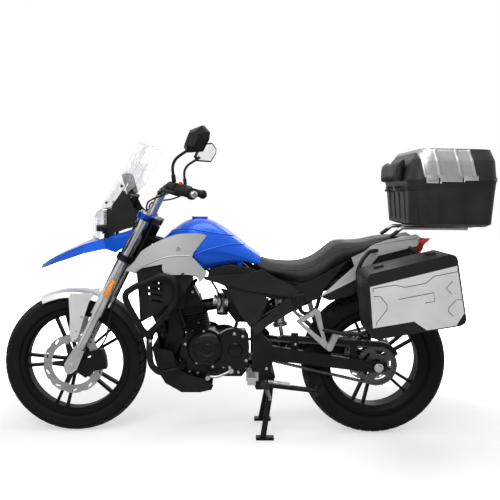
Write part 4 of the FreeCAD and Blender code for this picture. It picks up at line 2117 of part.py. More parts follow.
def pannier_fittings(corners):
    """Hinge knuckles under the seam and latches over it: those of the base and those of the lid."""
    front, rear, rear_top, front_top = corners
    radius = mm.pannier_hinge_radius
    along = (rear - front).normalize()
    down = Vector(along.z, 0, -along.x)
    down = down * (-1 if down.z > 0 else 1)
    length = (rear - front).Length
    line = front + down * radius + Vector(0, mm.pannier_seam_half, 0)
    ends = (PANNIER_KNUCKLE_SHARES[0][0] * length, PANNIER_KNUCKLE_SHARES[-1][1] * length)
    pin_radius = radius * 0.4
    of_base = [rod(tuple(line + along * ends[0]), tuple(line + along * ends[1]), pin_radius)]
    of_lid = []
    for number, (low, high) in enumerate(PANNIER_KNUCKLE_SHARES):
        span = (low * length + mm.contact_gap, high * length - mm.contact_gap)
        barrel = rod(tuple(line + along * span[0]), tuple(line + along * span[1]), radius)
        if number % 2 == 0:
            lug = edge_block(front, along, down, span, (-radius * 2.6, 0), (-mm.pannier_wall / 2, radius))
            of_base.append(barrel.fuse(lug))
        else:
            lug = edge_block(front, along, down, span, (0, radius * 2.6), (-mm.pannier_wall / 2, radius))
            bore = rod(tuple(line), tuple(line + along * length), pin_radius + mm.contact_gap)
            of_lid.append(barrel.fuse(lug).cut(bore))
    along = (front_top - rear_top).normalize()
    up = Vector(-along.z, 0, along.x)
    length = (front_top - rear_top).Length
    for share in PANNIER_LATCH_SHARES:
        half = mm.latch_width / 2
        span = (share * length - half, share * length + half)
        root = edge_block(
            rear_top, along, up, span, (mm.pannier_seam_gap * 2, mm.latch_reach),
            (-mm.pannier_wall / 2, mm.latch_height)
        )
        hook = edge_block(
            rear_top, along, up, span, (-mm.latch_reach, mm.latch_reach),
            (mm.pannier_seam_gap, mm.latch_height)
        )
        of_lid.append(root.fuse(hook))
    return of_base, of_lid


PANNIER_PLATE_SHARES = ((0.0, 0.17), (0.1, 0.02), (0.42, 0.02), (0.55, 0.17), (1.0, 0.17))


def make_pannier():
    """A clamshell: the half on the rack and the outer half that opens down, with a raised face plate."""
    outside, corners = pannier_outline(0.0)
    inside, _ = pannier_outline(mm.pannier_wall)
    wall = mm.pannier_wall
    seam = mm.pannier_seam_half
    gap = mm.pannier_seam_gap / 2
    face = mm.pannier_outer_half - mm.pannier_plate_height
    base = prism(outside, "y", mm.pannier_inner_half, seam - gap)
    base = base.cut(prism(inside, "y", mm.pannier_inner_half + wall, seam + wall))
    lid = prism(outside, "y", seam + gap, face)
    lid = lid.cut(prism(inside, "y", seam - wall, face - wall))
    plate = prism(pannier_plate_outline(corners), "y", face - wall / 2, mm.pannier_outer_half)
    of_base, of_lid = pannier_fittings(corners)
    return fused(base, *of_base), fused(lid, plate, *of_lid)


def pannier_plate_outline(corners):
    """The face plate's outline between a band below the latches and a stepped band over the lower edge."""
    front, rear, rear_top, front_top = corners
    inset = mm.pannier_corner_radius * 0.3
    along = (front - rear).normalize()
    up_rear = (rear_top - rear).normalize()
    up_front = (front_top - front).normalize()
    length = (front - rear).Length
    height = (rear_top - rear).Length
    lower = []
    for share, rise in PANNIER_PLATE_SHARES:
        lower.append(
            rear + along * (inset + (length - inset * 2) * share) + (up_rear + up_front) * 0.5 * height * rise
        )
    top_rear = rear_top + (rear - rear_top).normalize() * mm.pannier_band_height + (front_top - rear_top).normalize() * inset
    top_front = front_top + (front - front_top).normalize() * mm.pannier_band_height + (rear_top - front_top).normalize() * inset
    return [(point.x, point.z) for point in lower + [top_front, top_rear]]


top_case_base, top_case_lid = make_top_case()
pannier_base, pannier_lid = make_pannier()
keep("luggage_rack", make_luggage_rack())
keep("top_case_base", top_case_base)
keep("top_case_lid", top_case_lid)
keep("backrest_pad", make_backrest_pad())
keep("pannier_base_left", pannier_base)
keep("pannier_base_right", mirrored(pannier_base))
keep("pannier_lid_left", pannier_lid)
keep("pannier_lid_right", mirrored(pannier_lid))

# Front cowl, headlamp, screen and beak

COWL_SHARES = [
    (1.0, 0.0), (0.71, 0.4), (0.69, 0.49), (0.71, 0.65), (0.41, 1.0), (0.34, 1.0), (0.11, 0.63), (0.0, 0.54),
    (0.06, 0.2), (0.48, 0.07),
]
COWL_UPRIGHT_SHARES = ((0.871, 0.046), (0.357, 0.678), (0.214, 0.92))
COWL_BROW_SHARES = ((0.243, 0.897),)


def make_cowl():
    """Side cheeks and instrument on the stay that reaches forward between the fork legs."""
    sizes = (mm.cowl_rear_x, mm.cowl_length, mm.cowl_low_z, mm.cowl_height)
    cheek = prism(spread(COWL_SHARES, *sizes), "y", mm.cowl_half - mm.cowl_thickness, mm.cowl_half)
    radius = mm.stay_tube_radius
    rake = math.radians(mm.rake_degrees)
    ahead = -mm.fork_offset
    up = (mm.stay_z - mm.front_tyre_radius - ahead * math.sin(rake)) / math.cos(rake)
    root = fork_place(ahead, up)
    stay = rod((root.x + mm.head_radius * 0.75, 0, mm.stay_z), (mm.stay_front_x, 0, mm.stay_z), radius)
    side = mm.cowl_half - mm.cowl_thickness - radius * 0.75
    cross = cross_rod(mm.stay_front_x, side, mm.stay_z, radius)
    upright_route = [(mm.stay_front_x, side, mm.stay_z - radius)]
    upright_route += [(x, side, z) for x, z in spread(COWL_UPRIGHT_SHARES, *sizes)]
    upright = tube(upright_route, radius, radius * 5)
    brow_x, brow_z = spread(COWL_BROW_SHARES, *sizes)[0]
    brow = cross_rod(brow_x, side, brow_z, radius)
    depth = mm.instrument_depth
    x = mm.instrument_x
    z = mm.instrument_z
    dial_outline = [
        (x, z), (x + depth, z - depth * 0.3), (x + depth * 1.85, z + mm.instrument_height - depth * 0.3),
        (x + depth * 0.85, z + mm.instrument_height),
    ]
    dial = prism(dial_outline, "y", -mm.instrument_half, mm.instrument_half)
    cage = cross.multiFuse([stay, upright, mirrored(upright), brow])
    return cage.multiFuse([cheek, mirrored(cheek), dial])


HEADLAMP_SHARES = [
    (0.0, 0.55), (0.0, 1.0), (0.3, 0.95), [(0.72, 0.78), (0.93, 0.55), (1.0, 0.26), (0.9, 0.06)],
    (0.45, 0.0), (0.1, 0.1),
]


def make_headlamp():
    """A lens that bulges forward between the cheeks."""
    outline = spread(
        HEADLAMP_SHARES, mm.headlamp_rear_x, mm.headlamp_length, mm.headlamp_low_z, mm.headlamp_height
    )
    lens = prism(outline, "y", -mm.headlamp_half, mm.headlamp_half)
    front = mm.headlamp_rear_x + mm.headlamp_length
    shoulder = mm.headlamp_rear_x + mm.headlamp_length * 0.24
    back = mm.headlamp_rear_x - mm.cut_overrun
    half = mm.headlamp_half
    plan = [(back, -half), (shoulder, -half), [(front + mm.contact_gap, 0), (shoulder, half)], (back, half)]
    low = mm.headlamp_low_z - mm.cut_overrun
    return lens.common(prism(plan, "z", low, low + mm.headlamp_height + mm.cut_overrun * 2))


SCREEN_TRIM_SHARES = (
    (1.06, -0.035), (0.494, 0.084), (-0.25, 0.523), (-0.577, 0.899), (-0.012, 1.031), (0.583, 0.711),
)


def make_windscreen():
    """A clear sheet, bowed round the front and leaned back."""
    rings = []
    middle_half = (mm.screen_low_half + mm.screen_high_half) / 2 * 1.04
    middle_wrap = (mm.screen_low_wrap + mm.screen_high_wrap) / 2
    for offset in (0.0, mm.screen_thickness):
        wires = []
        for level, ahead, half, wrap in (
            (0.0, 1.0, mm.screen_low_half, mm.screen_low_wrap),
            (0.5, 0.48, middle_half, middle_wrap),
            (1.0, 0.0, mm.screen_high_half, mm.screen_high_wrap),
        ):
            z = mm.screen_low_z + mm.screen_height * level
            x = mm.screen_front_x - mm.screen_length * (1 - ahead) - offset
            side = half - offset
            back = x - wrap * 1.6
            outline = [(x - wrap, -side), [(x, 0), (x - wrap, side)], (back, side), (back, -side)]
            wires.append(outline_wire(outline, lambda across, out: Vector(across, out, z))[0])
        rings.append(Part.makeLoft(wires, True, False))
    shell = rings[0].cut(rings[1])
    rear = mm.screen_front_x - mm.screen_length
    outline = spread(SCREEN_TRIM_SHARES, rear, mm.screen_length, mm.screen_low_z, mm.screen_height)
    trim = prism(outline, "y", -mm.screen_low_half * 1.2, mm.screen_low_half * 1.2)
    return shell.common(trim)


BEAK_STATION_SHARES = (
    # along, half width, top, shoulder drop, skirt
    (1.0, 0.16, 0.0, 0.05, 0.14),
    (0.9, 0.4, 0.15, 0.05, 0.2),
    (0.76, 0.62, 0.34, 0.06, 0.26),
    (0.54, 0.84, 0.58, 0.08, 0.34),
    (0.32, 0.95, 0.8, 0.1, 0.38),
    (0.0, 1.0, 1.0, 0.12, 0.42),
)


def beak_body(inset):
    """The beak's outside, or its open inside when an inset is given."""
    rings = []
    for along, wide, top, drop, skirt in BEAK_STATION_SHARES:
        x = mm.beak_rear_x + mm.beak_length * along
        low_extra = 0
        if inset:
            low_extra = mm.cut_overrun
            x -= mm.cut_overrun if along == 0.0 else 0
        half = mm.beak_half * wide - inset
        high = mm.beak_low_z + mm.beak_height * top - inset
        shoulder = high - mm.beak_height * drop
        low = high - mm.beak_height * skirt - low_extra
        points = [
            Vector(x, -half, low), Vector(x, -half * 0.86, shoulder), Vector(x, 0, high), Vector(x, half * 0.86, shoulder),
            Vector(x, half, low),
        ]
        rings.append(Part.makePolygon(points + [points[0]]))
    return Part.makeLoft(rings, True, True)


WING_SHARES = (
    (0.0138, 0.583), (-0.131, 0.47), (-0.241, 0.629), (-0.3655, 1.182), (-0.172, 1.053), (0.0138, 0.871),
)


def make_beak():
    """The pointed shell above the front wheel with wings back past the fork."""
    shell = beak_body(0.0).cut(beak_body(mm.beak_wall))
    inner = mm.beak_half - mm.beak_wall
    wing_outline = spread(WING_SHARES, mm.beak_rear_x, mm.beak_length, mm.beak_low_z, mm.beak_height)
    wing = prism(wing_outline, "y", inner, mm.beak_half)
    return fused(shell, wing, mirrored(wing))


cowl = make_cowl().cut(frame_shape)
headlamp = make_headlamp()
keep("cowl", cowl)
keep("headlamp", headlamp.cut(cowl))
keep("windscreen", make_windscreen().cut(cowl).cut(headlamp))
keep("beak", seated(make_beak(), headlamp, cowl))
keep("indicators", make_indicators(tail_lower, cowl))

# Stands


def make_side_stand():
    """Folded back along the left side."""
    start, along = side_stand_eye()
    radius = mm.side_stand_radius
    tip = start + Vector(-mm.side_stand_length, mm.side_stand_spread, -mm.side_stand_drop)
    leg = rod(start, tip, radius)
    half = mm.side_stand_eye_half
    eye = rod(start - along * half, start + along * half, radius * 1.7)
    foot = box((tip.x - radius * 1.6, tip.x + radius * 1.4), (tip.y - radius * 0.4, tip.y + radius * 1.6),
               (tip.z - radius * 2, tip.z + radius * 2))
    bore = rod(start - along * half * 2, start + along * half * 2, mm.stand_bolt_radius + mm.contact_gap)
    return fused(leg, eye, foot).cut(bore)


def make_centre_stand():
    """Lowered, its feet on the floor under the pivot plates."""
    x = mm.centre_stand_x
    z = mm.centre_stand_z
    half = mm.centre_stand_half
    foot_half = mm.centre_stand_foot_half
    radius = mm.centre_stand_tube_radius
    foot_x = x + mm.centre_stand_lead
    knee_x = x + mm.centre_stand_lead * 0.3
    leg = tube(
        [(x, half, z), (knee_x, half + mm.stand_side_gap, z * 0.61), (foot_x, foot_half, radius)], radius,
        radius * 5
    )
    shoe_half = mm.centre_stand_shoe_half
    shoe = box(
        (foot_x - radius * 3.67, foot_x + radius * 2.5), (foot_half - shoe_half, foot_half + shoe_half),
        (0, radius)
    )
    cross = cross_rod(knee_x, half, z * 0.656, radius)
    reach = half + radius + mm.stand_side_gap - mm.contact_gap
    pivot = cross_rod(x, reach, z, radius)
    bore = cross_rod(x, reach, z, mm.stand_bolt_radius + mm.contact_gap)
    return fused(leg, mirrored(leg), shoe, mirrored(shoe), cross, pivot).cut(bore)


keep("side_stand", make_side_stand())
keep("centre_stand", make_centre_stand())

doc.recompute()
pieces = [
    thing for thing in doc.Objects
    if thing.TypeId == "PartDesign::Body" or (thing.TypeId == "Part::Feature")
]
for thing in doc.Objects:
    faults = [state for state in thing.State if state in ("Invalid", "Error")]
    if faults:
        raise RuntimeError(f"{thing.Label} has failed: {thing.State}")
for piece in pieces:
    if piece.Shape.isNull() or not piece.Shape.isValid() or not piece.Shape.Solids:
        raise RuntimeError(f"{piece.Label} has no valid shape")
os.makedirs("parts", exist_ok=True)
for piece in pieces:
    piece.Shape.exportStep(f"parts/{piece.Label}.step")
    print(piece.Label, len(piece.Shape.Solids), round(piece.Shape.Volume / 1000), "cm3")
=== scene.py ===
"""Adventure motorcycle with three cases: finishes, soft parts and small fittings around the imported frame."""

import math

import bmesh
import bpy
from mathutils import Matrix, Vector
from mathutils.bvhtree import BVHTree
from mathutils.geometry import convex_hull_2d


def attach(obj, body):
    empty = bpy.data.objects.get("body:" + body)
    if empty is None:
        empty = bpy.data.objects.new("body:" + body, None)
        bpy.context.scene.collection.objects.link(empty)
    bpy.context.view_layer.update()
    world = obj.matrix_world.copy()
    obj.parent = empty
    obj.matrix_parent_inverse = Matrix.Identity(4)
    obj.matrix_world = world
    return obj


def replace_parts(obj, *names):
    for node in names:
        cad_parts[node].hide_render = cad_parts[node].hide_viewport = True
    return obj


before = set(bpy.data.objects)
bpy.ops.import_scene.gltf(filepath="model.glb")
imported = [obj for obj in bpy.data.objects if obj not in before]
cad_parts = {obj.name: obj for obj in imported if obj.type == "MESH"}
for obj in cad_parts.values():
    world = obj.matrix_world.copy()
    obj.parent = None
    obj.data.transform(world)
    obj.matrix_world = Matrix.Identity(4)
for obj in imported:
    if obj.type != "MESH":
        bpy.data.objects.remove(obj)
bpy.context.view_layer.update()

REAR_AXLE_X = -0.558
WHEEL_BASE = 1.262
REAR_AXLE = Vector((REAR_AXLE_X, 0, 0.307))
FRONT_AXLE = Vector((REAR_AXLE_X + WHEEL_BASE, 0, 0.296))
RAKE = math.radians(26)
SIDES = (1, -1)
SIDE_WORDS = ((1, "left"), (-1, "right"))
OUTSIDE = 700


def at(x, y, z):
    """A place given in millimetres from the floor under the rear axle."""
    return Vector((REAR_AXLE_X + x / 1000, y / 1000, z / 1000))


def on_side(place, side):
    """A place on one side of the machine, from the same place on its left."""
    x, y, z = place
    return at(x, side * y, z)


def up_fork(along, up, side=0.0):
    """A place given in millimetres up the fork from the front axle."""
    lean = math.sin(RAKE)
    rise = math.cos(RAKE)
    return FRONT_AXLE + Vector((along * rise - up * lean, side, along * lean + up * rise)) / 1000


def spread(low, high, steps):
    """Even steps from one number to another, both included."""
    return [low + (high - low) * step / steps for step in range(steps + 1)]


# shader maths


class Value:
    """A number, vector or colour socket, so that sums of them add their own nodes."""

    def __init__(self, nodes, socket):
        self.nodes = nodes
        self.socket = socket

    def maths(self, operation, *others):
        return self.nodes.node("ShaderNodeMath", {"operation": operation}, self, *others)

    def __add__(self, other):
        return self.maths("ADD", other)

    def __sub__(self, other):
        return self.maths("SUBTRACT", other)

    def __mul__(self, other):
        return self.maths("MULTIPLY", other)

    def above(self, edge, soft):
        """0 below an edge and 1 above it, with a soft step."""
        settings = {"interpolation_type": "SMOOTHSTEP"}
        return self.nodes.node("ShaderNodeMapRange", settings, self, edge - soft, edge + soft)

    def part(self, name):
        """One output of a node that has several."""
        return Value(self.nodes, self.socket.node.outputs[name])


class Nodes:
    """A tree of shader nodes, which take values and plain numbers alike."""

    def __init__(self, tree):
        self.tree = tree

    def give(self, socket, value):
        """Links a value to a socket or sets a number, vector or colour there."""
        if isinstance(value, Value):
            self.tree.links.new(value.socket, socket)
        else:
            socket.default_value = (*value, 1.0) if socket.type == "RGBA" else value

    def node(self, kind, settings=None, *values, **named):
        """Adds a node and returns the first of its outputs."""
        made = self.tree.nodes.new(kind)
        for label, setting in (settings or {}).items():
            setattr(made, label, setting)
        for label, value in (*enumerate(values), *named.items()):
            self.give(made.inputs[label], value)
        return Value(self, next(output for output in made.outputs if output.enabled))


class Shader(Nodes):
    """A material and the nodes that feed its one Principled shader."""

    def __init__(self, name, **fixed):
        self.material = bpy.data.materials.new(name)
        self.material.use_nodes = True
        super().__init__(self.material.node_tree)
        self.surface = self.tree.nodes["Principled BSDF"]
        for label, amount in fixed.items():
            self.surface.inputs[label.replace("_", " ")].default_value = amount
        self.place = self.node("ShaderNodeTexCoord").part("Object")

    def noise(self, scale, detail=3.0, stretch=None):
        place = self.place
        if stretch is not None:
            place = self.node("ShaderNodeMapping", None, place, Scale=stretch)
        return self.node("ShaderNodeTexNoise", None, Vector=place, Scale=scale, Detail=detail)

    def cells(self, scale, feature="F1"):
        return self.node("ShaderNodeTexVoronoi", {"feature": feature}, Vector=self.place, Scale=scale)

    def axes(self):
        split = self.node("ShaderNodeSeparateXYZ", None, self.place)
        return split.part("X"), split.part("Y"), split.part("Z")

    def from_axle(self, axle):
        """How far a place is from the line of an axle."""
        across, _, high = self.axes()
        off_x, off_z = across - axle.x, high - axle.z
        return (off_x * off_x + off_z * off_z).maths("POWER", 0.5)

    def blend(self, factor, first, second):
        made = self.tree.nodes.new("ShaderNodeMix")
        made.data_type = "RGBA"
        for number, value in ((0, factor), (6, first), (7, second)):
            self.give(made.inputs[number], value)
        return Value(self, made.outputs[2])

    def feed(self, label, value):
        self.give(self.surface.inputs[label], value)

    def bump(self, height, strength, distance):
        """Raises the surface by a height that varies."""
        made = self.node("ShaderNodeBump", None, Strength=strength, Distance=distance, Height=height)
        self.feed("Normal", made)

    def coated(self, colour, roughness):
        """Feeds what every finish varies and gives its material."""
        self.feed("Base Color", colour)
        self.feed("Roughness", roughness)
        return self.material


def scaled(colour, share, lift=0.0):
    """A paler or darker colour."""
    return tuple(min(1.0, amount * share + lift) for amount in colour)


# finishes


def painted(name, colour, flake, coat, rough, metallic=0.0, peel=0.05):
    """Lacquered paint: fine flake under a clear coat with a little orange peel."""
    paint = Shader(
        name, Coat_Weight=coat, Coat_IOR=1.3, Coat_Roughness=0.05, Metallic=metallic, Specular_IOR_Level=0.12,
    )
    speckle = paint.node("ShaderNodeSeparateColor", None, paint.cells(2600.0).part("Color"))
    flakes = paint.blend(speckle, scaled(colour, 1 - flake), scaled(colour, 1 + flake))
    paint.bump(paint.noise(260.0, 1.0), peel, 0.0004)
    return paint.coated(flakes, paint.noise(6.0, 2.0) * 0.08 + rough)


def moulded(name, colour, rough, grain, scale=1500.0, fade=0.2):
    """Grained plastic, a little paler where it is dusty."""
    plastic = Shader(name, Specular_IOR_Level=0.15)
    mist = plastic.noise(9.0, 4.0)
    dusty = plastic.blend(mist.above(0.55, 0.25), colour, scaled(colour, 1 + fade * 2, 0.004))
    pores = plastic.cells(scale, "SMOOTH_F1")
    plastic.bump(pores + plastic.noise(scale * 0.6, 2.0) * 0.6, grain, 0.0003)
    return plastic.coated(dusty, mist * 0.14 + (rough - 0.07))


def metal(name, colour, rough, brushed=0.0, direction=(1, 1, 1), cast=0.0):
    """Bare metal, brushed along one axis or left as cast."""
    bare = Shader(name, Metallic=1.0)
    stain = bare.noise(14.0, 4.0)
    stained = bare.blend(stain.above(0.5, 0.3), colour, scaled(colour, 0.72))
    lines = bare.noise(900.0, 2.0, direction)
    bare.bump(lines * brushed + bare.noise(700.0, 3.0) * cast, 0.35, 0.0004)
    return bare.coated(stained, stain * 0.1 + lines * 0.12 * max(brushed, 0.3) + (rough - 0.08))


def lens(name, colour, rough=0.04, pitch=0.0):
    """Clear or tinted moulded lens, ribbed inside where a pitch is given."""
    glass = Shader(name, Transmission_Weight=0.92, IOR=1.49, Coat_Weight=0.3)
    haze = glass.noise(30.0, 3.0)
    if pitch:
        _, side, high = glass.axes()
        ribs = [(place * (math.tau / pitch)).maths("SINE") for place in (side, high)]
        glass.bump(ribs[0] * ribs[1], 0.5, 0.0008)
    return glass.coated(glass.blend(haze.above(0.6, 0.2), colour, scaled(colour, 0.9)), haze * 0.04 + rough)


def leather(name, colour):
    """Vinyl with a pebbled grain, paler where it is worn."""
    cover = Shader(name, Specular_IOR_Level=0.22)
    pebble = cover.cells(620.0, "DISTANCE_TO_EDGE")
    worn = cover.noise(7.0, 5.0)
    folds = cover.noise(42.0, 3.0) * 0.35
    cover.bump(pebble.above(0.12, 0.1) * 0.35 + folds, 0.5, 0.0008)
    faded = cover.blend(worn.above(0.58, 0.2), colour, scaled(colour, 1.7, 0.003))
    return cover.coated(faded, worn * 0.2 + 0.38)


def tyre_rubber(name, axle, edge):
    """Tyre rubber, dusty where the tread stands out beyond an edge."""
    rubber = Shader(name, Specular_IOR_Level=0.12)
    mist = rubber.noise(11.0, 5.0)
    wall = rubber.blend(mist.above(0.55, 0.25), (0.006, 0.006, 0.006), (0.012, 0.012, 0.011))
    tread = rubber.from_axle(axle).above(edge, 0.0012)
    rubber.bump(rubber.noise(480.0, 3.0), 0.3, 0.0005)
    return rubber.coated(rubber.blend(tread, wall, (0.032, 0.031, 0.03)), mist * 0.15 + 0.58)


def spun_disc(name, axle):
    """A brake disc, ground in rings about its axle."""
    disc = Shader(name, Specular_IOR_Level=0.2)
    radius = disc.from_axle(axle)
    rings = (radius * 9000.0).maths("SINE")
    heat = disc.noise(22.0, 3.0)
    ground = radius.above(0.086, 0.0006)
    steel = disc.blend(heat.above(0.5, 0.25), (0.42, 0.42, 0.425), (0.3, 0.295, 0.29))
    disc.feed("Metallic", ground * 0.9)
    disc.bump(rings, 0.12, 0.0002)
    return disc.coated(disc.blend(ground, (0.01, 0.01, 0.01), steel), rings * 0.05 + heat * 0.12 + 0.22)


def two_tone(name, mask_of, first, second):
    """Two finishes on one piece where a mask parts them; each is colour, roughness, metal share and coat."""
    made = Shader(name, Specular_IOR_Level=0.2, Coat_IOR=1.3, Coat_Roughness=0.05)
    mask = mask_of(made)
    grain = made.noise(9.0, 4.0)
    colours = [made.blend(grain.above(0.5, 0.3), end[0], scaled(end[0], 0.86)) for end in (first, second)]
    rough, metallic, coat = [mask * (high - low) + low for low, high in zip(first[1:], second[1:])]
    made.feed("Metallic", metallic)
    made.feed("Coat Weight", coat)
    made.bump(made.noise(800.0, 3.0), 0.22, 0.0003)
    return made.coated(made.blend(mask, *colours), rough + grain * 0.08)


def past(axis, edge, soft=0.0006):
    """A mask that parts a piece where it passes an edge along Y or Z, alike on both sides."""
    return lambda made: made.axes()[axis].maths("ABSOLUTE").above(edge, soft)


def ahead_of_fork(made):
    """A mask for what lies ahead of a line 30 mm behind the fork's own."""
    across, _, high = made.axes()
    ahead = (across - FRONT_AXLE.x) * math.cos(RAKE) + (high - FRONT_AXLE.z) * math.sin(RAKE)
    return ahead.above(-0.03, 0.0006)


NEAR_BLACK = (0.007, 0.007, 0.0075)
BLUE = painted("blue_lacquer", (0.003, 0.1, 0.68), 0.25, 0.7, 0.28, metallic=0.3)
SILVER = painted("silver_lacquer", (0.4, 0.395, 0.4), 0.12, 0.8, 0.3, metallic=0.55)
PALE_SILVER = painted("pale_silver", (0.66, 0.655, 0.66), 0.1, 0.8, 0.3, metallic=0.45)
RIM_BLACK = painted("rim_black", (0.004, 0.004, 0.0044), 0.2, 0.05, 0.5, peel=0.08)
COVER_BLACK = painted("cover_black", (0.0045, 0.0042, 0.0042), 0.3, 0.45, 0.3, peel=0.2)
BLACK_POWDER = moulded("black_powder_coat", (0.006, 0.006, 0.0065), 0.34, 0.25, 900.0)
ENGINE_BLACK = moulded("engine_black", (0.005, 0.005, 0.005), 0.32, 0.5, 600.0, fade=0.5)
PLASTIC = moulded("black_plastic", (0.009, 0.009, 0.009), 0.5, 0.35)
DARK_PLASTIC = moulded("dark_plastic", (0.006, 0.006, 0.0065), 0.45, 0.3)
GREY_PLASTIC = moulded("grey_plastic", (0.016, 0.0145, 0.0145), 0.42, 0.3)
CASE_PLASTIC = moulded("case_plastic", (0.026, 0.026, 0.027), 0.4, 0.55, 1100.0)
RED_PLASTIC = moulded("red_plastic", (0.5, 0.012, 0.012), 0.4, 0.2)
RUBBER = moulded("black_rubber", (0.008, 0.008, 0.008), 0.62, 0.4, 800.0)
CAST = metal("cast_aluminium", (0.52, 0.52, 0.52), 0.4, cast=0.5)
BRIGHT = metal("bright_tube", (0.6, 0.6, 0.605), 0.24, 0.4, (1, 1, 0.1))
STEEL = metal("zinc_steel", (0.6, 0.6, 0.58), 0.32, cast=0.3)
CHAIN_STEEL = metal("chain_steel", (0.11, 0.105, 0.1), 0.42, cast=0.4)
SILENCER = metal("brushed_silencer", (0.5, 0.5, 0.5), 0.3, 1.0, (0.05, 1, 1))
CASE_PANEL = metal("case_panel", (0.36, 0.355, 0.36), 0.42, 0.5, (0.06, 1, 1))
LAMP_SILVER = metal("lamp_reflector", (0.88, 0.89, 0.9), 0.16)
MIRROR_GLASS = metal("mirror_glass", (0.9, 0.92, 0.93), 0.09)
FRONT_TYRE = tyre_rubber("front_tyre_rubber", FRONT_AXLE, 0.2785)
REAR_TYRE = tyre_rubber("rear_tyre_rubber", REAR_AXLE, 0.2875)
FRONT_DISC = spun_disc("front_disc_steel", FRONT_AXLE)
REAR_DISC = spun_disc("rear_disc_steel", REAR_AXLE)
VINYL = leather("seat_vinyl", (0.01, 0.01, 0.0105))
CLEAR = lens("clear_lens", (0.95, 0.96, 0.98))
SCREEN = lens("clear_screen", (0.97, 0.98, 0.99), 0.02)
SCREEN_EDGE = lens("screen_edge", (0.5, 0.52, 0.55), 0.08)
RED = lens("red_lens", (0.75, 0.01, 0.012), pitch=0.006)
AMBER = lens("amber_lens", (0.9, 0.3, 0.03), pitch=0.005)
CASE_LIDS = two_tone(
    "case_lid_plate", past(1, 0.4264, 0.0003),
    ((0.015, 0.015, 0.016), 0.4, 0.0, 0.0), ((0.97, 0.965, 0.97), 0.3, 0.45, 0.0),
)
MUDGUARD = two_tone(
    "mudguard_paint", ahead_of_fork,
    ((0.008, 0.008, 0.0085), 0.4, 0.0, 0.0), ((0.9, 0.885, 0.89), 0.3, 0.35, 0.7),
)
CLAMPS = two_tone(
    "clamp_finish", past(2, 0.905), (NEAR_BLACK, 0.35, 0.0, 0.0), ((0.003, 0.06, 0.5), 0.3, 0.7, 0.4),
)
BAR_FINISH = two_tone(
    "bar_and_risers", past(1, 0.062), ((0.5, 0.5, 0.5), 0.32, 1.0, 0.0), (NEAR_BLACK, 0.32, 0.0, 0.4),
)
RACK_FINISH = two_tone(
    "rack_finish", past(2, 0.872), (NEAR_BLACK, 0.35, 0.0, 0.0), ((0.42, 0.42, 0.425), 0.34, 0.9, 0.0),
)

for finish, names in (
    (FRONT_TYRE, "front_tyre"), (REAR_TYRE, "rear_tyre"), (RIM_BLACK, "front_rim rear_rim"),
    (FRONT_DISC, "front_disc"), (REAR_DISC, "rear_disc"), (CHAIN_STEEL, "rear_sprocket chain"),
    (BRIGHT, "fork_legs"), (CLAMPS, "fork_clamps"), (BAR_FINISH, "handlebar"), (MUDGUARD, "front_mudguard"),
    (BLACK_POWDER, "front_brake swingarm frame crash_bars side_stand centre_stand"), (SILENCER, "exhaust"),
    (RUBBER, "controls cables"), (COVER_BLACK, "engine_crankcase"), (ENGINE_BLACK, "engine_cylinder"),
    (PLASTIC, "belly_pan side_cowls cowl"), (DARK_PLASTIC, "mirrors indicators rear_mudguard"),
    (GREY_PLASTIC, "tail_lower_panels side_covers"), (BLUE, "tank beak"), (SILVER, "shrouds"),
    (PALE_SILVER, "tail_panels"), (VINYL, "seat backrest_pad"), (RED, "tail_lamp"),
    (CASE_PLASTIC, "top_case_base top_case_lid pannier_base_left pannier_base_right"),
    (RACK_FINISH, "luggage_rack"),
    (CASE_LIDS, "pannier_lid_left pannier_lid_right"), (CLEAR, "headlamp"), (SCREEN, "windscreen"),
    (CAST, "foot_pegs"), (STEEL, "rear_shock"),
):
    for node in names.split():
        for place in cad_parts[node].material_slots:
            place.material = finish

FINISH_SLOTS = {
    "blue_paint": [BLUE], "silver_paint": [SILVER, PALE_SILVER], "black_frame": [BLACK_POWDER, RIM_BLACK],
    "engine_black": [ENGINE_BLACK, COVER_BLACK], "aluminium": [CAST, BRIGHT, CASE_PANEL, LAMP_SILVER],
    "steel": [STEEL, CHAIN_STEEL, SILENCER], "rubber": [RUBBER], "tyre": [FRONT_TYRE, REAR_TYRE],
    "black_plastic": [PLASTIC, DARK_PLASTIC, GREY_PLASTIC, CASE_PLASTIC], "vinyl": [VINYL],
    "clear": [CLEAR, SCREEN, SCREEN_EDGE], "red_lens": [RED, RED_PLASTIC], "gloss_black": [MIRROR_GLASS],
    "amber_lens": [AMBER],
}

# meshes and pieces


def placed(name, data):
    """A new object in the scene."""
    made = bpy.data.objects.new(name, data)
    bpy.context.scene.collection.objects.link(made)
    return made


def mesh_of(name, points, faces=()):
    mesh = bpy.data.meshes.new(name)
    mesh.from_pydata([tuple(point) for point in points], [], faces)
    return mesh


def shown_mesh(piece):
    """A new mesh of what a piece's modifiers make."""
    graph = bpy.context.evaluated_depsgraph_get()
    return bpy.data.meshes.new_from_object(piece.evaluated_get(graph), depsgraph=graph)


def applied(piece):
    """Gives a piece the mesh that its modifiers make."""
    mesh, old = shown_mesh(piece), piece.data
    piece.modifiers.clear()
    piece.data = mesh
    bpy.data.meshes.remove(old)


def reshaped(mesh, change=None, merge=1e-6):
    """Merges a mesh's doubled points and then makes a change, if there is one."""
    form = bmesh.new()
    form.from_mesh(mesh)
    bmesh.ops.remove_doubles(form, verts=form.verts, dist=merge)
    if change is not None:
        change(form)
    form.to_mesh(mesh)
    form.free()


def finished(name, mesh, finish, body, smooth=32.0):
    """Makes a mesh a piece that rides on a body: outward faces, one finish, smooth up to an angle."""
    reshaped(mesh, lambda form: bmesh.ops.recalc_face_normals(form, faces=form.faces))
    mesh.materials.clear()
    mesh.materials.append(finish)
    mesh.shade_smooth()
    mesh.set_sharp_from_angle(angle=math.radians(smooth))
    piece = placed(name, mesh)
    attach(piece, body)
    for slot, finishes in FINISH_SLOTS.items():
        finish in finishes
    return piece


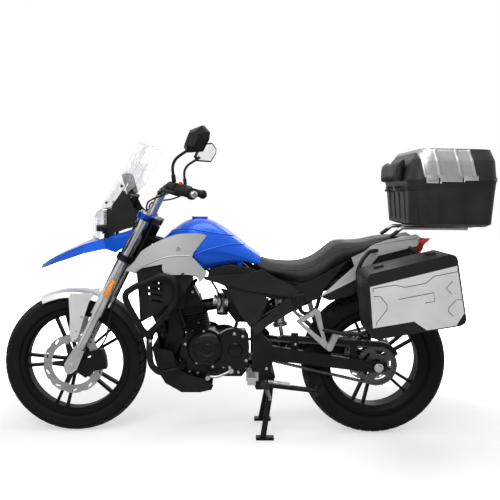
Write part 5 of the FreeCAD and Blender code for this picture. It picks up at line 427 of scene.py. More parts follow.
def built(name, forms, finish, body="chassis", smooth=32.0):
    """A piece made of one or more forms, each a list of points and a list of faces."""
    return finished(name, mesh_of(name, *joined(forms)), finish, body, smooth)


def joined(forms):
    """Points and faces of several forms as one."""
    points, faces = [], []
    for form_points, form_faces in forms:
        start = len(points)
        points += list(form_points)
        faces += [[start + corner for corner in face] for face in form_faces]
    return points, faces


def mirrored(form):
    points, faces = form
    flipped = [Vector((point[0], -point[1], point[2])) for point in points]
    return flipped, [list(reversed(face)) for face in faces]


def surface(*nodes):
    """A search tree over the meshes of pieces or of named CAD nodes, to lay details on them."""
    forms = []
    for node in nodes:
        mesh = (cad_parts[node] if isinstance(node, str) else node).data
        points = [vertex.co.copy() for vertex in mesh.vertices]
        forms.append((points, [face.vertices for face in mesh.polygons]))
    return BVHTree.FromPolygons(*joined(forms))


def seen_from(tree, start, heading):
    """Where a line meets a surface, and which way that faces; None for both where it misses."""
    heading = Vector(heading).normalized()
    place, normal, _, _ = tree.ray_cast(Vector(start), heading)
    if place is not None and normal.dot(heading) > 0:
        normal = -normal
    return place, normal


def from_side(tree, x, z, side=1):
    """Where a level line from outside one side meets a surface."""
    return seen_from(tree, at(x, side * OUTSIDE, z), (0, -side, 0))


def rings_form(rings, loop=False):
    """A skin over rings of equal counts, capped at its ends or closed on itself."""
    count, total = len(rings[0]), len(rings)
    faces = []
    for number in range(total if loop else total - 1):
        low, high = number * count, (number + 1) % total * count
        for corner in range(count):
            after = (corner + 1) % count
            faces.append([low + corner, low + after, high + after, high + corner])
    if not loop:
        faces += [list(range(count))[::-1], list(range((total - 1) * count, total * count))]
    return [point for ring in rings for point in ring], faces


def sheet_form(rows):
    """An open sheet through rows of equal counts."""
    count = len(rows[0])
    faces = []
    for row in range(len(rows) - 1):
        for low in range(row * count, (row + 1) * count - 1):
            faces.append([low, low + 1, low + 1 + count, low + count])
    return [point for row in rows for point in row], faces


def circle(middle, across, beside, radius, sides):
    """Points round a middle, from one direction towards another."""
    turns = [math.tau * step / sides for step in range(sides)]
    return [middle + (across * math.cos(turn) + beside * math.sin(turn)) * radius for turn in turns]


def lathe(profile, centre, axis, sides=24):
    """A form turned about an axis, from pairs of radius and height."""
    axis = Vector(axis).normalized()
    across = axis.orthogonal().normalized()
    beside = axis.cross(across)
    rings = []
    for radius, height in profile:
        rings.append(circle(Vector(centre) + axis * height, across, beside, max(radius, 1e-5), sides))
    return rings_form(rings)


def smooth_route(route, steps=8):
    """More points along a route, on a curve through all of them."""
    route = [Vector(point) for point in route]
    ends = [route[0] * 2 - route[1]] + route + [route[-1] * 2 - route[-2]]
    made = []
    for number in range(1, len(ends) - 2):
        before, start, end, after = ends[number - 1:number + 3]
        for step in range(steps):
            share = step / steps
            made.append(0.5 * (
                2 * start + (end - before) * share + (2 * before - 5 * start + 4 * end - after) * share ** 2
                + (3 * start - before - 3 * end + after) * share ** 3
            ))
    return made + [route[-1]]


def tube_form(route, radius, sides=8, loop=False):
    """A tube along a route."""
    rings = []
    count = len(route)
    normal = None
    for number, place in enumerate(route):
        before = route[number - 1] if number or loop else place
        after = route[(number + 1) % count] if number < count - 1 or loop else place
        heading = (after - before).normalized()
        if normal is None:
            normal = heading.orthogonal().normalized()
        normal = (normal - heading * normal.dot(heading)).normalized()
        rings.append(circle(place, normal, heading.cross(normal), radius, sides))
    return rings_form(rings, loop)


def inset(outline, amount):
    """An outline drawn in by an amount all round."""
    corners = [Vector(point) for point in outline]
    afters = corners[1:] + corners[:1]
    sign = 1 if sum(here.cross(after) for here, after in zip(corners, afters)) > 0 else -1
    made = []
    for before, here, after in zip(corners[-1:] + corners[:-1], corners, afters):
        first, second = (here - before).normalized(), (after - here).normalized()
        normals = [Vector((-edge.y, edge.x)) * sign for edge in (first, second)]
        middle = (normals[0] + normals[1]).normalized()
        made.append(tuple(here + middle * amount / max(0.4, middle.dot(normals[0]))))
    return made


def slab_form(outline, lift, low, high, chamfer):
    """A plate with a chamfered upper edge: an outline of pairs that lift places at a height."""
    levels = ((outline, low), (outline, high - chamfer), (inset(outline, chamfer), high))
    return rings_form([[lift(*point, height) for point in points] for points, height in levels])


def arc(middle, radius, first, last, steps):
    """Pairs round a middle, from one angle to another in degrees."""
    turns = [math.radians(turn) for turn in spread(first, last, steps)]
    return [(middle[0] + math.cos(turn) * radius, middle[1] + math.sin(turn) * radius) for turn in turns]


# repeats by geometry nodes


def repeat_tree():
    """Instances of a unit on points that carry a turn and a size, made real in one finish."""
    tree = bpy.data.node_groups.new("repeats", "GeometryNodeTree")
    sockets = {}
    kinds = {"Places": "Geometry", "Unit": "Object", "Weld": "Float", "Finish": "Material"}
    for label, kind in kinds.items():
        made = tree.interface.new_socket(label, in_out="INPUT", socket_type=f"NodeSocket{kind}")
        sockets[label] = made.identifier
    tree.interface.new_socket("Result", in_out="OUTPUT", socket_type="NodeSocketGeometry")

    def add(kind, **links):
        made = tree.nodes.new(kind)
        for label, source in links.items():
            tree.links.new(source, made.inputs[label])
        return made

    def stored(label):
        made = add("GeometryNodeInputNamedAttribute")
        made.data_type = "FLOAT_VECTOR"
        made.inputs["Name"].default_value = label
        return made.outputs["Attribute"]

    given = add("NodeGroupInput").outputs
    places = given["Places"]
    unit = add("GeometryNodeObjectInfo", Object=given["Unit"]).outputs["Geometry"]
    turn = add("FunctionNodeEulerToRotation", Euler=stored("turn")).outputs["Rotation"]
    size = stored("size")
    spots = add("GeometryNodeInstanceOnPoints", Points=places, Instance=unit, Rotation=turn, Scale=size)
    real = add("GeometryNodeRealizeInstances", Geometry=spots.outputs["Instances"])
    weld = add("GeometryNodeMergeByDistance", Geometry=real.outputs["Geometry"], Distance=given["Weld"])
    coat = add("GeometryNodeSetMaterial", Geometry=weld.outputs["Geometry"], Material=given["Finish"])
    add("NodeGroupOutput", Result=coat.outputs["Geometry"])
    return tree, sockets


REPEATS, REPEAT_INPUTS = repeat_tree()


def repeated(name, unit, spots, finish, body, weld=0.0, smooth=32.0):
    """One piece of a unit form repeated at spots of place, turn and size."""
    original = placed(name + "_unit", mesh_of(name + "_unit", *unit))
    holder = placed(name + "_holder", mesh_of(name + "_places", [spot[0] for spot in spots]))
    for label, number in (("turn", 1), ("size", 2)):
        stored = holder.data.attributes.new(label, "FLOAT_VECTOR", "POINT")
        for value, spot in zip(stored.data, spots):
            value.vector = spot[number]
    repeats = holder.modifiers.new("repeats", "NODES")
    repeats.node_group = REPEATS
    for label, value in (("Unit", original), ("Weld", weld), ("Finish", finish)):
        repeats[REPEAT_INPUTS[label]] = value
    mesh = shown_mesh(holder)
    mesh.name = name
    for item in (holder, original):
        bpy.data.objects.remove(item)
    return finished(name, mesh, finish, body, smooth)


UP = (0, 0, 1)
ORIGIN = (0, 0, 0)
HEX_BOLT = joined([
    lathe([(1.0, -0.3), (1.0, 0.1), (0.94, 0.16), (0.0, 0.16)], ORIGIN, UP, 16),
    lathe([(0.74, 0.1), (0.74, 0.56), (0.62, 0.66), (0.0, 0.66)], ORIGIN, UP, 6),
])
SOCKET_BOLT = lathe(
    [(0.9, -0.3), (0.9, 0.4), (0.78, 0.55), (0.42, 0.55), (0.4, 0.2), (0.0, 0.2)], ORIGIN, UP, 12,
)


def bolts(name, head, nodes, places, radius, finish=STEEL, body="chassis"):
    """Bolt heads where lines from the sides meet named nodes, at pairs of x and z in millimetres."""
    tree = surface(*nodes.split())
    spots = []
    for side in SIDES:
        for x, z in places:
            place, normal = from_side(tree, x, z, side)
            if place is not None:
                spots.append((place, normal.to_track_quat("Z", "Y").to_euler(), [radius / 1000] * 3))
    return repeated(name, head, spots, finish, body)


# tyres

BEAD = 216.0
TREAD_PITCHES = 42
TREAD_DEPTH = 0.0062
TREAD_SKEW = 0.85
SKEW_END = 3.4
SECTION_STEPS = 20
PITCH_STOPS = [(0.0, 1), (0.2, 1), (0.25, 0), (0.43, 0), (0.6, 0), (0.78, 0), (0.95, 0), (1.0, 1)]


def tyre_section(radius, half, rim_half):
    """Half a tyre's section from the tread's middle to the bead: place, way in, depth shares and skew."""
    shares = [(0.995, 0.16), (0.966, 0.42), (0.875, 0.74), (0.7, 0.955), (0.42, 0.99), (0.22, 0.92)]
    swell = radius - BEAD
    corners = [(radius, 0.0)] + [(BEAD + swell * out, half * side) for out, side in shares]
    corners += [(BEAD + 10, rim_half), (BEAD + 0.5, rim_half)]
    stops = [
        # along the corners, all-round groove, cross groove
        (0.0, 0, 0), (0.6, 0, 0), (1.0, 0, 0), (1.06, 1, 1), (1.3, 1, 1), (1.36, 0, 1), (1.8, 0, 1),
        (2.3, 0, 1), (2.34, 0.6, 1), (2.48, 0.6, 1), (2.52, 0, 1), (3.0, 0, 1), (3.4, 0, 0.9), (3.7, 0, 0.5),
        (3.9, 0, 0), (4.2, 0, 0), (4.25, -0.2, -0.2), (4.4, -0.2, -0.2), (4.45, 0, 0), (5.0, 0, 0),
        (5.4, 0, 0), (5.7, 0, 0), (6.0, 0, 0), (6.05, -0.25, -0.25), (6.2, -0.25, -0.25), (6.3, 0, 0),
        (7.0, 0, 0), (8.0, 0, 0),
    ]
    route = smooth_route([Vector((out, side, 0)) for out, side in corners], SECTION_STEPS)
    section = []
    for along, ring, cross in stops:
        number = round(along * SECTION_STEPS)
        heading = (route[min(number + 1, len(route) - 1)] - route[max(number - 1, 0)]).normalized()
        inward = Vector((-heading.y, heading.x, 0))
        if inward.x > 0:
            inward = -inward
        section.append((route[number], inward, ring, cross, TREAD_SKEW * min(along, SKEW_END) / SKEW_END))
    return section


def make_tyre(name, centre, radius, half, rim_half, finish, body):
    """One pitch of tread and wall, repeated round the wheel."""
    section = tyre_section(radius, half, rim_half)
    pitch = math.tau / TREAD_PITCHES
    rows = []
    for sign in (-1, 1):
        for place, inward, ring, cross, skew in section if sign > 0 else section[:0:-1]:
            row = []
            for stop, low in PITCH_STOPS:
                depth = max(ring, cross * low) if ring >= 0 else ring
                spot = place + inward * depth * TREAD_DEPTH * 1000
                turn = (stop + skew) * pitch
                out = min(spot.x, radius) / 1000
                row.append(Vector((math.cos(turn) * out, sign * spot.y / 1000, math.sin(turn) * out)))
            rows.append(row)
    spots = [(centre, (0.0, -pitch * number, 0.0), (1.0, 1.0, 1.0)) for number in range(TREAD_PITCHES)]
    return repeated(name, sheet_form(rows), spots, finish, body, weld=0.00002, smooth=28.0)


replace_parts(make_tyre("front_tread", FRONT_AXLE, 296.0, 50.0, 31.7, FRONT_TYRE, "front_wheel"), "front_tyre")
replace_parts(make_tyre("rear_tread", REAR_AXLE, 307.0, 65.0, 44.2, REAR_TYRE, "rear_wheel"), "rear_tyre")

# chain

CHAIN_PLANE = 78.0
LINK = 25.4
PLATE = 1.3
INNER_PLATE, OUTER_PLATE = 4.4, 5.85
ROLLER = [(0.0042, -0.0043), (0.0042, 0.0043)]
PIN = [(0.0014, -0.0073), (0.0022, -0.0069), (0.0022, 0.0069), (0.0014, 0.0073)]
REAR_SPROCKET, REAR_SPROCKET_RADIUS = Vector((0, 307)), 80.94
DRIVE_SPROCKET, DRIVE_SPROCKET_RADIUS = Vector((590, 385)), 28.54


def plate_form(start, end, low, high):
    """One chain plate with a waist, from pin to pin along X."""
    radius, waist = 5.6, 4.1
    middle = (start + end) / 2
    outline = arc((end, 0), radius, -90, 90, 6) + [(middle, waist)]
    outline += arc((start, 0), radius, 90, 270, 6) + [(middle, -waist)]
    return slab_form(outline, lambda across, up, out: Vector((across, out, up)) / 1000, low, high, 0.25)


def chain_unit():
    """An inner and an outer link with their rollers and pins."""
    forms = []
    for start, low in ((-LINK / 2, INNER_PLATE), (0.0, OUTER_PLATE)):
        plate = plate_form(start, start + LINK / 2, low, low + PLATE)
        forms += [plate, mirrored(plate)]
    for place in (-LINK / 2, 0.0):
        for profile, sides in ((ROLLER, 10), (PIN, 8)):
            forms.append(lathe(profile, (place / 1000, 0, 0), (0, 1, 0), sides))
    return joined(forms)


def on_sprocket(centre, radius, turn):
    return centre + Vector((math.cos(turn), math.sin(turn))) * radius


def chain_spots():
    """Places and headings along the chain's loop over both sprockets."""
    rear, rear_radius = REAR_SPROCKET, REAR_SPROCKET_RADIUS
    drive, drive_radius = DRIVE_SPROCKET, DRIVE_SPROCKET_RADIUS
    gap = drive - rear
    lean = math.atan2(gap.y, gap.x)
    swing = math.acos((rear_radius - drive_radius) / gap.length)
    top, foot = lean + swing, lean - swing
    run = math.sqrt(gap.length ** 2 - (rear_radius - drive_radius) ** 2)
    rear_arc, drive_arc = rear_radius * (math.tau - 2 * swing), drive_radius * 2 * swing
    length = run * 2 + rear_arc + drive_arc
    count = round(length / LINK)
    stretch = length / count / LINK
    spots = []
    for number in range(count):
        along = length * number / count
        if along < run:
            start, end = on_sprocket(drive, drive_radius, top), on_sprocket(rear, rear_radius, top)
            place, turn = start + (end - start) * along / run, top
        elif along < run + rear_arc:
            turn = top + (along - run) / rear_radius
            place = on_sprocket(rear, rear_radius, turn)
        elif along < run * 2 + rear_arc:
            start, end = on_sprocket(rear, rear_radius, foot), on_sprocket(drive, drive_radius, foot)
            place, turn = start + (end - start) * (along - run - rear_arc) / run, foot
        else:
            turn = foot + (along - run * 2 - rear_arc) / drive_radius
            place = on_sprocket(drive, drive_radius, turn)
        heading = turn + math.pi / 2
        spots.append((at(place.x, CHAIN_PLANE, place.y), (0.0, -heading, 0.0), (stretch, 1.0, 1.0)))
    return spots


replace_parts(repeated("chain_links", chain_unit(), chain_spots(), CHAIN_STEEL, "chassis"), "chain")

# seat and backrest pad

CLOTH_FRAMES = 20
CLOTH_PRESSURE = 4.0


def softened(piece, rounds):
    relax = piece.modifiers.new("relax", "SMOOTH")
    relax.iterations = rounds
    relax.factor = 0.5


def swelled(piece, cap):
    """Blows a piece up as a cloth under pressure, each point held within a cap of its start."""
    scene = bpy.context.scene
    rest = [vertex.co.copy() for vertex in piece.data.vertices]
    cloth = piece.modifiers.new("cloth", "CLOTH")
    cloth.settings.use_pressure = True
    cloth.settings.uniform_pressure_force = CLOTH_PRESSURE
    cloth.settings.effector_weights.gravity = 0.0
    cloth.settings.quality = 5
    cloth.point_cache.frame_start = 1
    cloth.point_cache.frame_end = CLOTH_FRAMES
    for number in range(1, CLOTH_FRAMES + 1):
        scene.frame_set(number)
    applied(piece)
    scene.frame_set(1)
    for vertex, start in zip(piece.data.vertices, rest):
        moved = vertex.co - start
        if moved.length > cap:
            vertex.co = start + moved.normalized() * cap


def cushion(name, node, body, voxel, shrink, cap):
    """A cushion swelled from its solid, which is drawn in at first."""
    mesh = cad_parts[node].data.copy()
    reshaped(mesh)
    piece = placed(name, mesh)
    remesh = piece.modifiers.new("voxels", "REMESH")
    remesh.mode = "VOXEL"
    remesh.voxel_size = voxel
    softened(piece, 6)
    inward = piece.modifiers.new("inward", "DISPLACE")
    inward.mid_level = 0.0
    inward.strength = -shrink
    applied(piece)
    swelled(piece, cap)
    softened(piece, 4)
    applied(piece)
    mesh = piece.data
    bpy.data.objects.remove(piece)
    piece = finished(name, mesh, VINYL, body, 60.0)
    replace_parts(piece, node)
    return piece


def seam(name, tree, route, radius, finish):
    """A bead laid along a surface on both sides of the machine."""
    forms = []
    for side in SIDES:
        places = []
        for point in smooth_route([Vector((x, 0, z)) for x, z in route]):
            place, normal = from_side(tree, point.x, point.z, side)
            if place is not None:
                places.append(place - normal * radius * 0.35)
        forms.append(tube_form(places, radius))
    return built(name, forms, finish, smooth=60.0)


seat = cushion("seat_cushion", "seat", "chassis", voxel=0.0055, shrink=0.004, cap=0.006)
cushion(
    "backrest_cushion", "backrest_pad", "top_case_lid", voxel=0.0045, shrink=0.004, cap=0.009,
)
SEAT_WELT = [
    (548, 765), (510, 745), (455, 722), (400, 708), (340, 706), (285, 722), (235, 752), (190, 782),
    (120, 800), (20, 815), (-70, 827),
]
seam("seat_welt", surface(seat), SEAT_WELT, 0.0022, VINYL)

# panniers

LID_SIDE = 430.0
GROOVE_WIDTH = 2.4
GROOVE_LIFT = 0.0003
# routes in x and z of the recessed grooves on the lids, which are drawn as dark lines of painted shade
PANNIER_GROOVES = (
    [(99, 677), (21, 691), (-18, 683), (-92, 699), (-120, 724), (-205, 742)],
    [(99, 677), (98, 664)],
    [(96, 648), (72, 649), (46, 618), (46, 600), (81, 554), (83, 543)],
    [(-96, 629), (-92, 627), (-126, 633), (-122, 665), (4, 639)],
    [(-188, 706), (-165, 682), (-188, 660)],
    [(-225, 640), (-205, 640), (-178, 610), (-178, 596), (-196, 580)],
)


def groove_shade_form(route, side):
    """Painted groove shade: a dark line that lies flat on a pannier lid's side, along a route of x and z, in
    place of the shade inside a recessed groove.
    """
    rows = []
    for across in (-GROOVE_WIDTH / 2, GROOVE_WIDTH / 2):
        row = []
        for number, (x, z) in enumerate(route):
            before = Vector(route[max(number - 1, 0)])
            after = Vector(route[min(number + 1, len(route) - 1)])
            heading = (after - before).normalized()
            place = at(x - heading.y * across, side * LID_SIDE, z + heading.x * across)
            row.append(place + Vector((0, side * GROOVE_LIFT, 0)))
        rows.append(row)
    return sheet_form(rows)


# each lid's grooves get painted shade: flat dark lines on the silver plate instead of real recesses
for side, word in SIDE_WORDS:
    lines = [groove_shade_form(route, side) for route in PANNIER_GROOVES]
    built(f"pannier_lines_{word}", lines, DARK_PLASTIC, f"pannier_lid_{word}")

# top case

CASE_MIDDLE = 1080.0
PANEL_DIVISIONS = (0.31, 0.72)
FIELD_LIFT = 1.4
RIM_LIFT = 2.6
DIVISION_LIFT = 3.0
BAND_LIFTS = [(0.0, -1.0), (0.0, 3.6), (0.05, 4.4), (0.95, 4.4), (1.0, 3.6), (1.0, -1.0)]
BAND_EDGES = ((-136, -184), (-190, -276), (-282, -338))
CASE_CENTRE_X = -230
RIB_TOP, SIDE_RIB_FOOT, END_RIB_FOOT = 1030, 912, 918
RIB_STEPS = 8
SIDE_RIBS = ((-99, -121), (-186, -197), (-287, -300))
END_RIBS = (-120, -40, 40, 120)
lid_surface = surface("top_case_lid")
base_surface = surface("top_case_base")


def case_skin(name, front, rear, lifts, turns):
    """A sheet over the lid, between front and rear lines that vary with the turn from side to side."""
    rows = []
    for turn in turns:
        heading = Vector((0, math.cos(turn), math.sin(turn)))
        row = []
        for share, lift in lifts:
            x = front(turn) + (rear(turn) - front(turn)) * share
            place, _ = seen_from(lid_surface, at(x, 0, CASE_MIDDLE) + heading * 0.6, -heading)
            row.append(place + heading * lift / 1000)
        rows.append(row)
    return built(name, [sheet_form(rows)], CASE_PANEL, "top_case_lid", 40.0)


def skin_edge(x, shift=0.0):
    """A line over the lid at x, moved forward by a shift where it is off the sides."""
    return lambda turn: x + shift * min(1.0, abs(math.sin(turn)) * 2.4)


def panel_lifts():
    """Shares across the panel and how far each stands off, with a raised rim at each division."""
    lifts = [(0.0, -1.0), (0.0, RIM_LIFT), (0.03, RIM_LIFT), (0.045, FIELD_LIFT)]
    for place in PANEL_DIVISIONS:
        lifts += [
            (place - 0.03, FIELD_LIFT), (place - 0.02, DIVISION_LIFT), (place + 0.02, DIVISION_LIFT),
            (place + 0.03, FIELD_LIFT),
        ]
    lifts += [(0.955, FIELD_LIFT), (0.97, RIM_LIFT), (1.0, RIM_LIFT), (1.0, -1.0)]
    made = [lifts[0]]
    for share, lift in lifts[1:]:
        before, low = made[-1]
        steps = max(1, math.ceil((share - before) / 0.02))
        made += list(zip(spread(before, share, steps), spread(low, lift, steps)))[1:]
    return made


low_turn = math.atan2(1084 - CASE_MIDDLE, 236)
panel_turns = spread(low_turn, math.pi - low_turn, 72)
case_skin("top_case_panel", skin_edge(-130.0, 18.0), skin_edge(-334.0, 24.0), panel_lifts(), panel_turns)
for side, word in SIDE_WORDS:
    turns = spread(math.atan2(1062 - CASE_MIDDLE, 238), math.atan2(1092 - CASE_MIDDLE, 236), 5)
    if side < 0:
        turns = [math.pi - turn for turn in turns]
    for number, (front, rear) in enumerate(BAND_EDGES):
        case_skin(f"top_case_band_{word}_{number}", skin_edge(front), skin_edge(rear), BAND_LIFTS, turns)


def rib_form(starts, heading, radius):
    """A rib where lines from a row of starts meet the top case's base."""
    hits = [seen_from(base_surface, start, heading)[0] for start in starts]
    return tube_form([place for place in hits if place is not None], radius)


def case_ribs():
    """Upright ribs moulded on the top case's sides, front and back."""
    forms = []
    for side in SIDES:
        for top, foot in SIDE_RIBS:
            places = zip(spread(top, foot, RIB_STEPS), spread(RIB_TOP, SIDE_RIB_FOOT, RIB_STEPS))
            forms.append(rib_form([at(x, side * OUTSIDE, z) for x, z in places], (0, -side, 0), 0.0034))
    for across in END_RIBS:
        for sign in SIDES:
            heights = spread(RIB_TOP, END_RIB_FOOT, RIB_STEPS)
            starts = [at(CASE_CENTRE_X + sign * 500, across, z) for z in heights]
            forms.append(rib_form(starts, (-sign, 0, 0), 0.0032))
    return forms


built("top_case_ribs", case_ribs(), CASE_PLASTIC, smooth=60.0)

# headlamp

BOWL = [
    (0.005, -0.016), (0.016, -0.013), (0.026, -0.004), (0.031, 0.01), (0.033, 0.01), (0.028, -0.007),
    (0.0, -0.02),
]
BULB = [(0.006, -0.016), (0.007, -0.004), (0.005, 0.001), (0.0, 0.003)]
LENS_EDGE = -0.85
BOWL_PLACE = (1146, 50, 888)


def lamp_wall(name, wanted, thickness, finish, sink=0.0, smooth=40.0):
    """A thin wall inside the headlamp's faces whose forward slant passes a test, sunk in by an amount."""
    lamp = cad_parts["headlamp"].data
    faces = [list(face.vertices) for face in lamp.polygons if wanted(face.normal.x)]
    mesh = mesh_of("wall", [vertex.co for vertex in lamp.vertices], faces)

    def sunk(form):
        loose = [vertex for vertex in form.verts if not vertex.link_faces]
        bmesh.ops.delete(form, geom=loose, context="VERTS")
        form.normal_update()
        for vertex, normal in [(vertex, vertex.normal.copy()) for vertex in form.verts]:
            vertex.co -= normal * sink

    reshaped(mesh, sunk, 2e-6)
    piece = placed("wall", mesh)
    wall = piece.modifiers.new("wall", "SOLIDIFY")
    wall.thickness = thickness
    wall.offset = -1
    applied(piece)
    mesh = piece.data
    bpy.data.objects.remove(piece)
    return finished(name, mesh, finish, "chassis", smooth)


front_lens = lamp_wall("headlamp_lens", lambda slant: slant > LENS_EDGE, 0.0025, CLEAR)
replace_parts(front_lens, "headlamp")
lamp_wall("headlamp_back", lambda slant: slant <= LENS_EDGE, 0.002, DARK_PLASTIC, smooth=32.0)
lamp_wall("headlamp_reflector", lambda slant: slant > 0.05, 0.001, LAMP_SILVER, sink=0.007)
for finish, profile, word in ((MIRROR_GLASS, BOWL, "bowls"), (CLEAR, BULB, "bulbs")):
    forms = [lathe(profile, on_side(BOWL_PLACE, side), (1, side * 0.16, -0.05), 28) for side in SIDES]
    built(f"headlamp_{word}", forms, finish, smooth=50.0)

# screen and mirrors

SCREEN_RUN, SCREEN_RISE = 255, 287
RIM_SHARE = 0.975
RIM_STEP = 0.008
MIRROR_FACING = (-0.79, -0.62)
CORNER_GAP = 0.004
PANE_INSET = 0.006


def screen_rim():
    """A bead just inside the screen's edge, laid on its front face."""
    lean = Vector((-SCREEN_RUN, 0, SCREEN_RISE)).normalized()
    facing = Vector((SCREEN_RISE, 0, SCREEN_RUN)).normalized()
    points = [vertex.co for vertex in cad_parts["windscreen"].data.vertices]
    pairs = [(point.y, point.dot(lean)) for point in points]
    outline = [Vector(pairs[number]) for number in convex_hull_2d(pairs)]
    middle = sum(outline, Vector((0, 0))) / len(outline)
    tree = surface("windscreen")
    route = []
    for corner, after in zip(outline, outline[1:] + outline[:1]):
        steps = max(1, round((after - corner).length / RIM_STEP))
        for step in range(steps):
            pair = middle + (corner + (after - corner) * step / steps - middle) * RIM_SHARE
            start = Vector((0, pair.x, 0)) + lean * pair.y + facing * 1.2
            place, _ = seen_from(tree, start, -facing)
            if place is not None:
                route.append(place)
    return tube_form(route, 0.0015, 6, loop=True)


built("screen_rim", [screen_rim()], SCREEN_EDGE, smooth=60.0)


def mirror_pane(side):
    """The mirror's glass: its flat face drawn in from the rim and a little proud."""
    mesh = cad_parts["mirrors"].data
    facing = Vector((MIRROR_FACING[0], MIRROR_FACING[1] * side, 0)).normalized()
    flat = [face for face in mesh.polygons if face.normal.dot(facing) > 0.995 and face.center.y * side > 0]
    points = [mesh.vertices[corner].co for face in flat for corner in face.vertices]
    depth = max(point.dot(facing) for point in points)
    points = [point for point in points if depth - point.dot(facing) < 0.002]
    across = Vector((0, 0, 1)).cross(facing).normalized()
    pairs = [(point.dot(across), point.z) for point in points]
    outline = []
    for pair in [pairs[number] for number in convex_hull_2d(pairs)]:
        if not outline or (Vector(pair) - Vector(outline[-1])).length > CORNER_GAP:
            outline.append(pair)

    def lift(wide, high, out):
        return across * wide + facing * (depth + out) + Vector((0, 0, high))

    return slab_form(inset(outline, PANE_INSET), lift, -0.0005, 0.0008, 0.0005)


built("mirror_panes", [mirror_pane(1), mirror_pane(-1)], MIRROR_GLASS, "steering", 20.0)

# fork, bar and controls

REFLECTOR_FOOT, REFLECTOR_TOP, REFLECTOR_RADIUS = 334, 396, 11
reflector = arc((0, REFLECTOR_TOP), REFLECTOR_RADIUS, 0, 180, 8)
reflector += arc((0, REFLECTOR_FOOT), REFLECTOR_RADIUS, 180, 360, 8)
reflectors = [
    slab_form(reflector, lambda along, up, out, side=side: up_fork(along, up, side * out), 113.0, 123.5, 3.0)
    for side in SIDES
]
built("fork_reflectors", reflectors, AMBER, "steering", 50.0)

GRIP_END, GRIP_ROOT = (752, 405, 1006), (862, 215, 1034)
GRIP_START = 0.014
GRIP_RIBS = 17
GRIP_PITCH = 0.0062
GRIP_RADIUS = 0.0178
GRIP_RIB = [(0.9, -0.12), (1.0, -0.05), (1.0, 0.05), (0.9, 0.12)]
BAR_END = [(0.0, -0.021), (0.009, -0.021), (0.0125, -0.018), (0.0135, -0.008), (0.0125, 0.001), (0.0, 0.001)]
SWITCH_DOME = [(0.0075, -0.004), (0.0075, 0.004), (0.005, 0.0075), (0.0, 0.0085)]
grips = []
ends = []
for side in SIDES:
    end = on_side(GRIP_END, side)
    inward = (on_side(GRIP_ROOT, side) - end).normalized()
    turned = inward.to_track_quat("Z", "Y").to_euler()
    for number in range(GRIP_RIBS):
        grips.append((end + inward * (GRIP_START + number * GRIP_PITCH), turned, [GRIP_RADIUS] * 3))
    ends.append(lathe(BAR_END, end, inward))
repeated("grip_ribs", lathe(GRIP_RIB, ORIGIN, UP), grips, RUBBER, "steering", smooth=50.0)
built("bar_ends", ends, STEEL, "steering", 40.0)
built("switch_button", [lathe(SWITCH_DOME, at(800, 322, 1042), UP, 20)], RED_PLASTIC, "steering", 50.0)

# bolts and nuts

ENGINE_BOLTS = [
    (798, 384), (780, 268), (745, 262), (575, 268), (545, 289), (545, 330), (720, 449), (594, 440),
    (748, 319), (683, 290), (638, 290), (771, 435), (560, 430), (612, 300),
]
FRAME_BOLTS = [(461, 436), (461, 300), (365, 359), (330, 500), (281, 523), (340, 586), (552, 282)]
bolts("engine_bolts", HEX_BOLT, "engine_crankcase engine_cylinder", ENGINE_BOLTS, 6.2)
bolts("frame_bolts", SOCKET_BOLT, "frame side_covers foot_pegs luggage_rack", FRAME_BOLTS, 7.0)
bolts("swingarm_bolts", SOCKET_BOLT, "swingarm", [(342, 396), (151, 374), (219, 388), (300, 400)], 6.0)
bolts("rear_axle_nut", HEX_BOLT, "swingarm frame", [(0, 307)], 19.0, BRIGHT)
AXLE_NUT_RADIUS = 0.0125
ABOVE_BORE = (1262, 314)
fork_surface = surface("fork_legs")
nut_spots = []
for side in SIDES:
    leg_face, _ = from_side(fork_surface, *ABOVE_BORE, side)
    turn = Vector((0, side, 0)).to_track_quat("Z", "Y").to_euler()
    nut_spots.append((Vector((FRONT_AXLE.x, leg_face.y, FRONT_AXLE.z)), turn, [AXLE_NUT_RADIUS] * 3))
repeated("front_axle_nuts", HEX_BOLT, nut_spots, STEEL, "steering")
bolts(
    "mudguard_bolts", SOCKET_BOLT, "front_mudguard fork_legs", [(1226, 495), (1248, 436), (1272, 376)], 5.5,
    body="steering",
)
bolts("crash_bar_bolts", HEX_BOLT, "crash_bars", [(929, 420), (914, 400), (836, 330)], 6.0)
bolts("shroud_screws", SOCKET_BOLT, "shrouds", [(747, 690)], 6.0)
bolts("screen_bolts", SOCKET_BOLT, "windscreen", [(1054, 1034), (1120, 967)], 6.5, DARK_PLASTIC)

# creases in the panels

for name, node, radius, finish, route in (
    ("tank", "tank", 0.0042, BLUE, [(880, 850), (790, 868), (681, 852), (600, 838), (526, 815)]),
    ("tank_lower", "tank", 0.0036, BLUE, [(754, 768), (690, 790), (610, 806), (526, 800)]),
    ("beak", "beak", 0.0034, BLUE, [(1380, 702), (1335, 722), (1263, 768), (1155, 812), (1030, 838)]),
    ("shroud", "shrouds", 0.0036, SILVER, [(1000, 690), (930, 735), (850, 760), (760, 762)]),
    ("tail", "tail_panels", 0.003, SILVER, [(235, 640), (170, 745), (80, 800), (-60, 828), (-150, 838)]),
):
    seam(f"{name}_crease", surface(node), route, radius, finish)

# covers and lamp wings


def beside(side):
    """A lift for plates that stand along a side of the machine."""
    return lambda x, z, out: at(x, side * out, z)


def side_slab(name, outline, low, high, chamfer, finish, smooth=32.0):
    """A chamfered plate on each side of the machine, from an outline of x and z in millimetres."""
    forms = [slab_form(outline, beside(side), low, high, chamfer) for side in SIDES]
    return built(name, forms, finish, smooth=smooth)


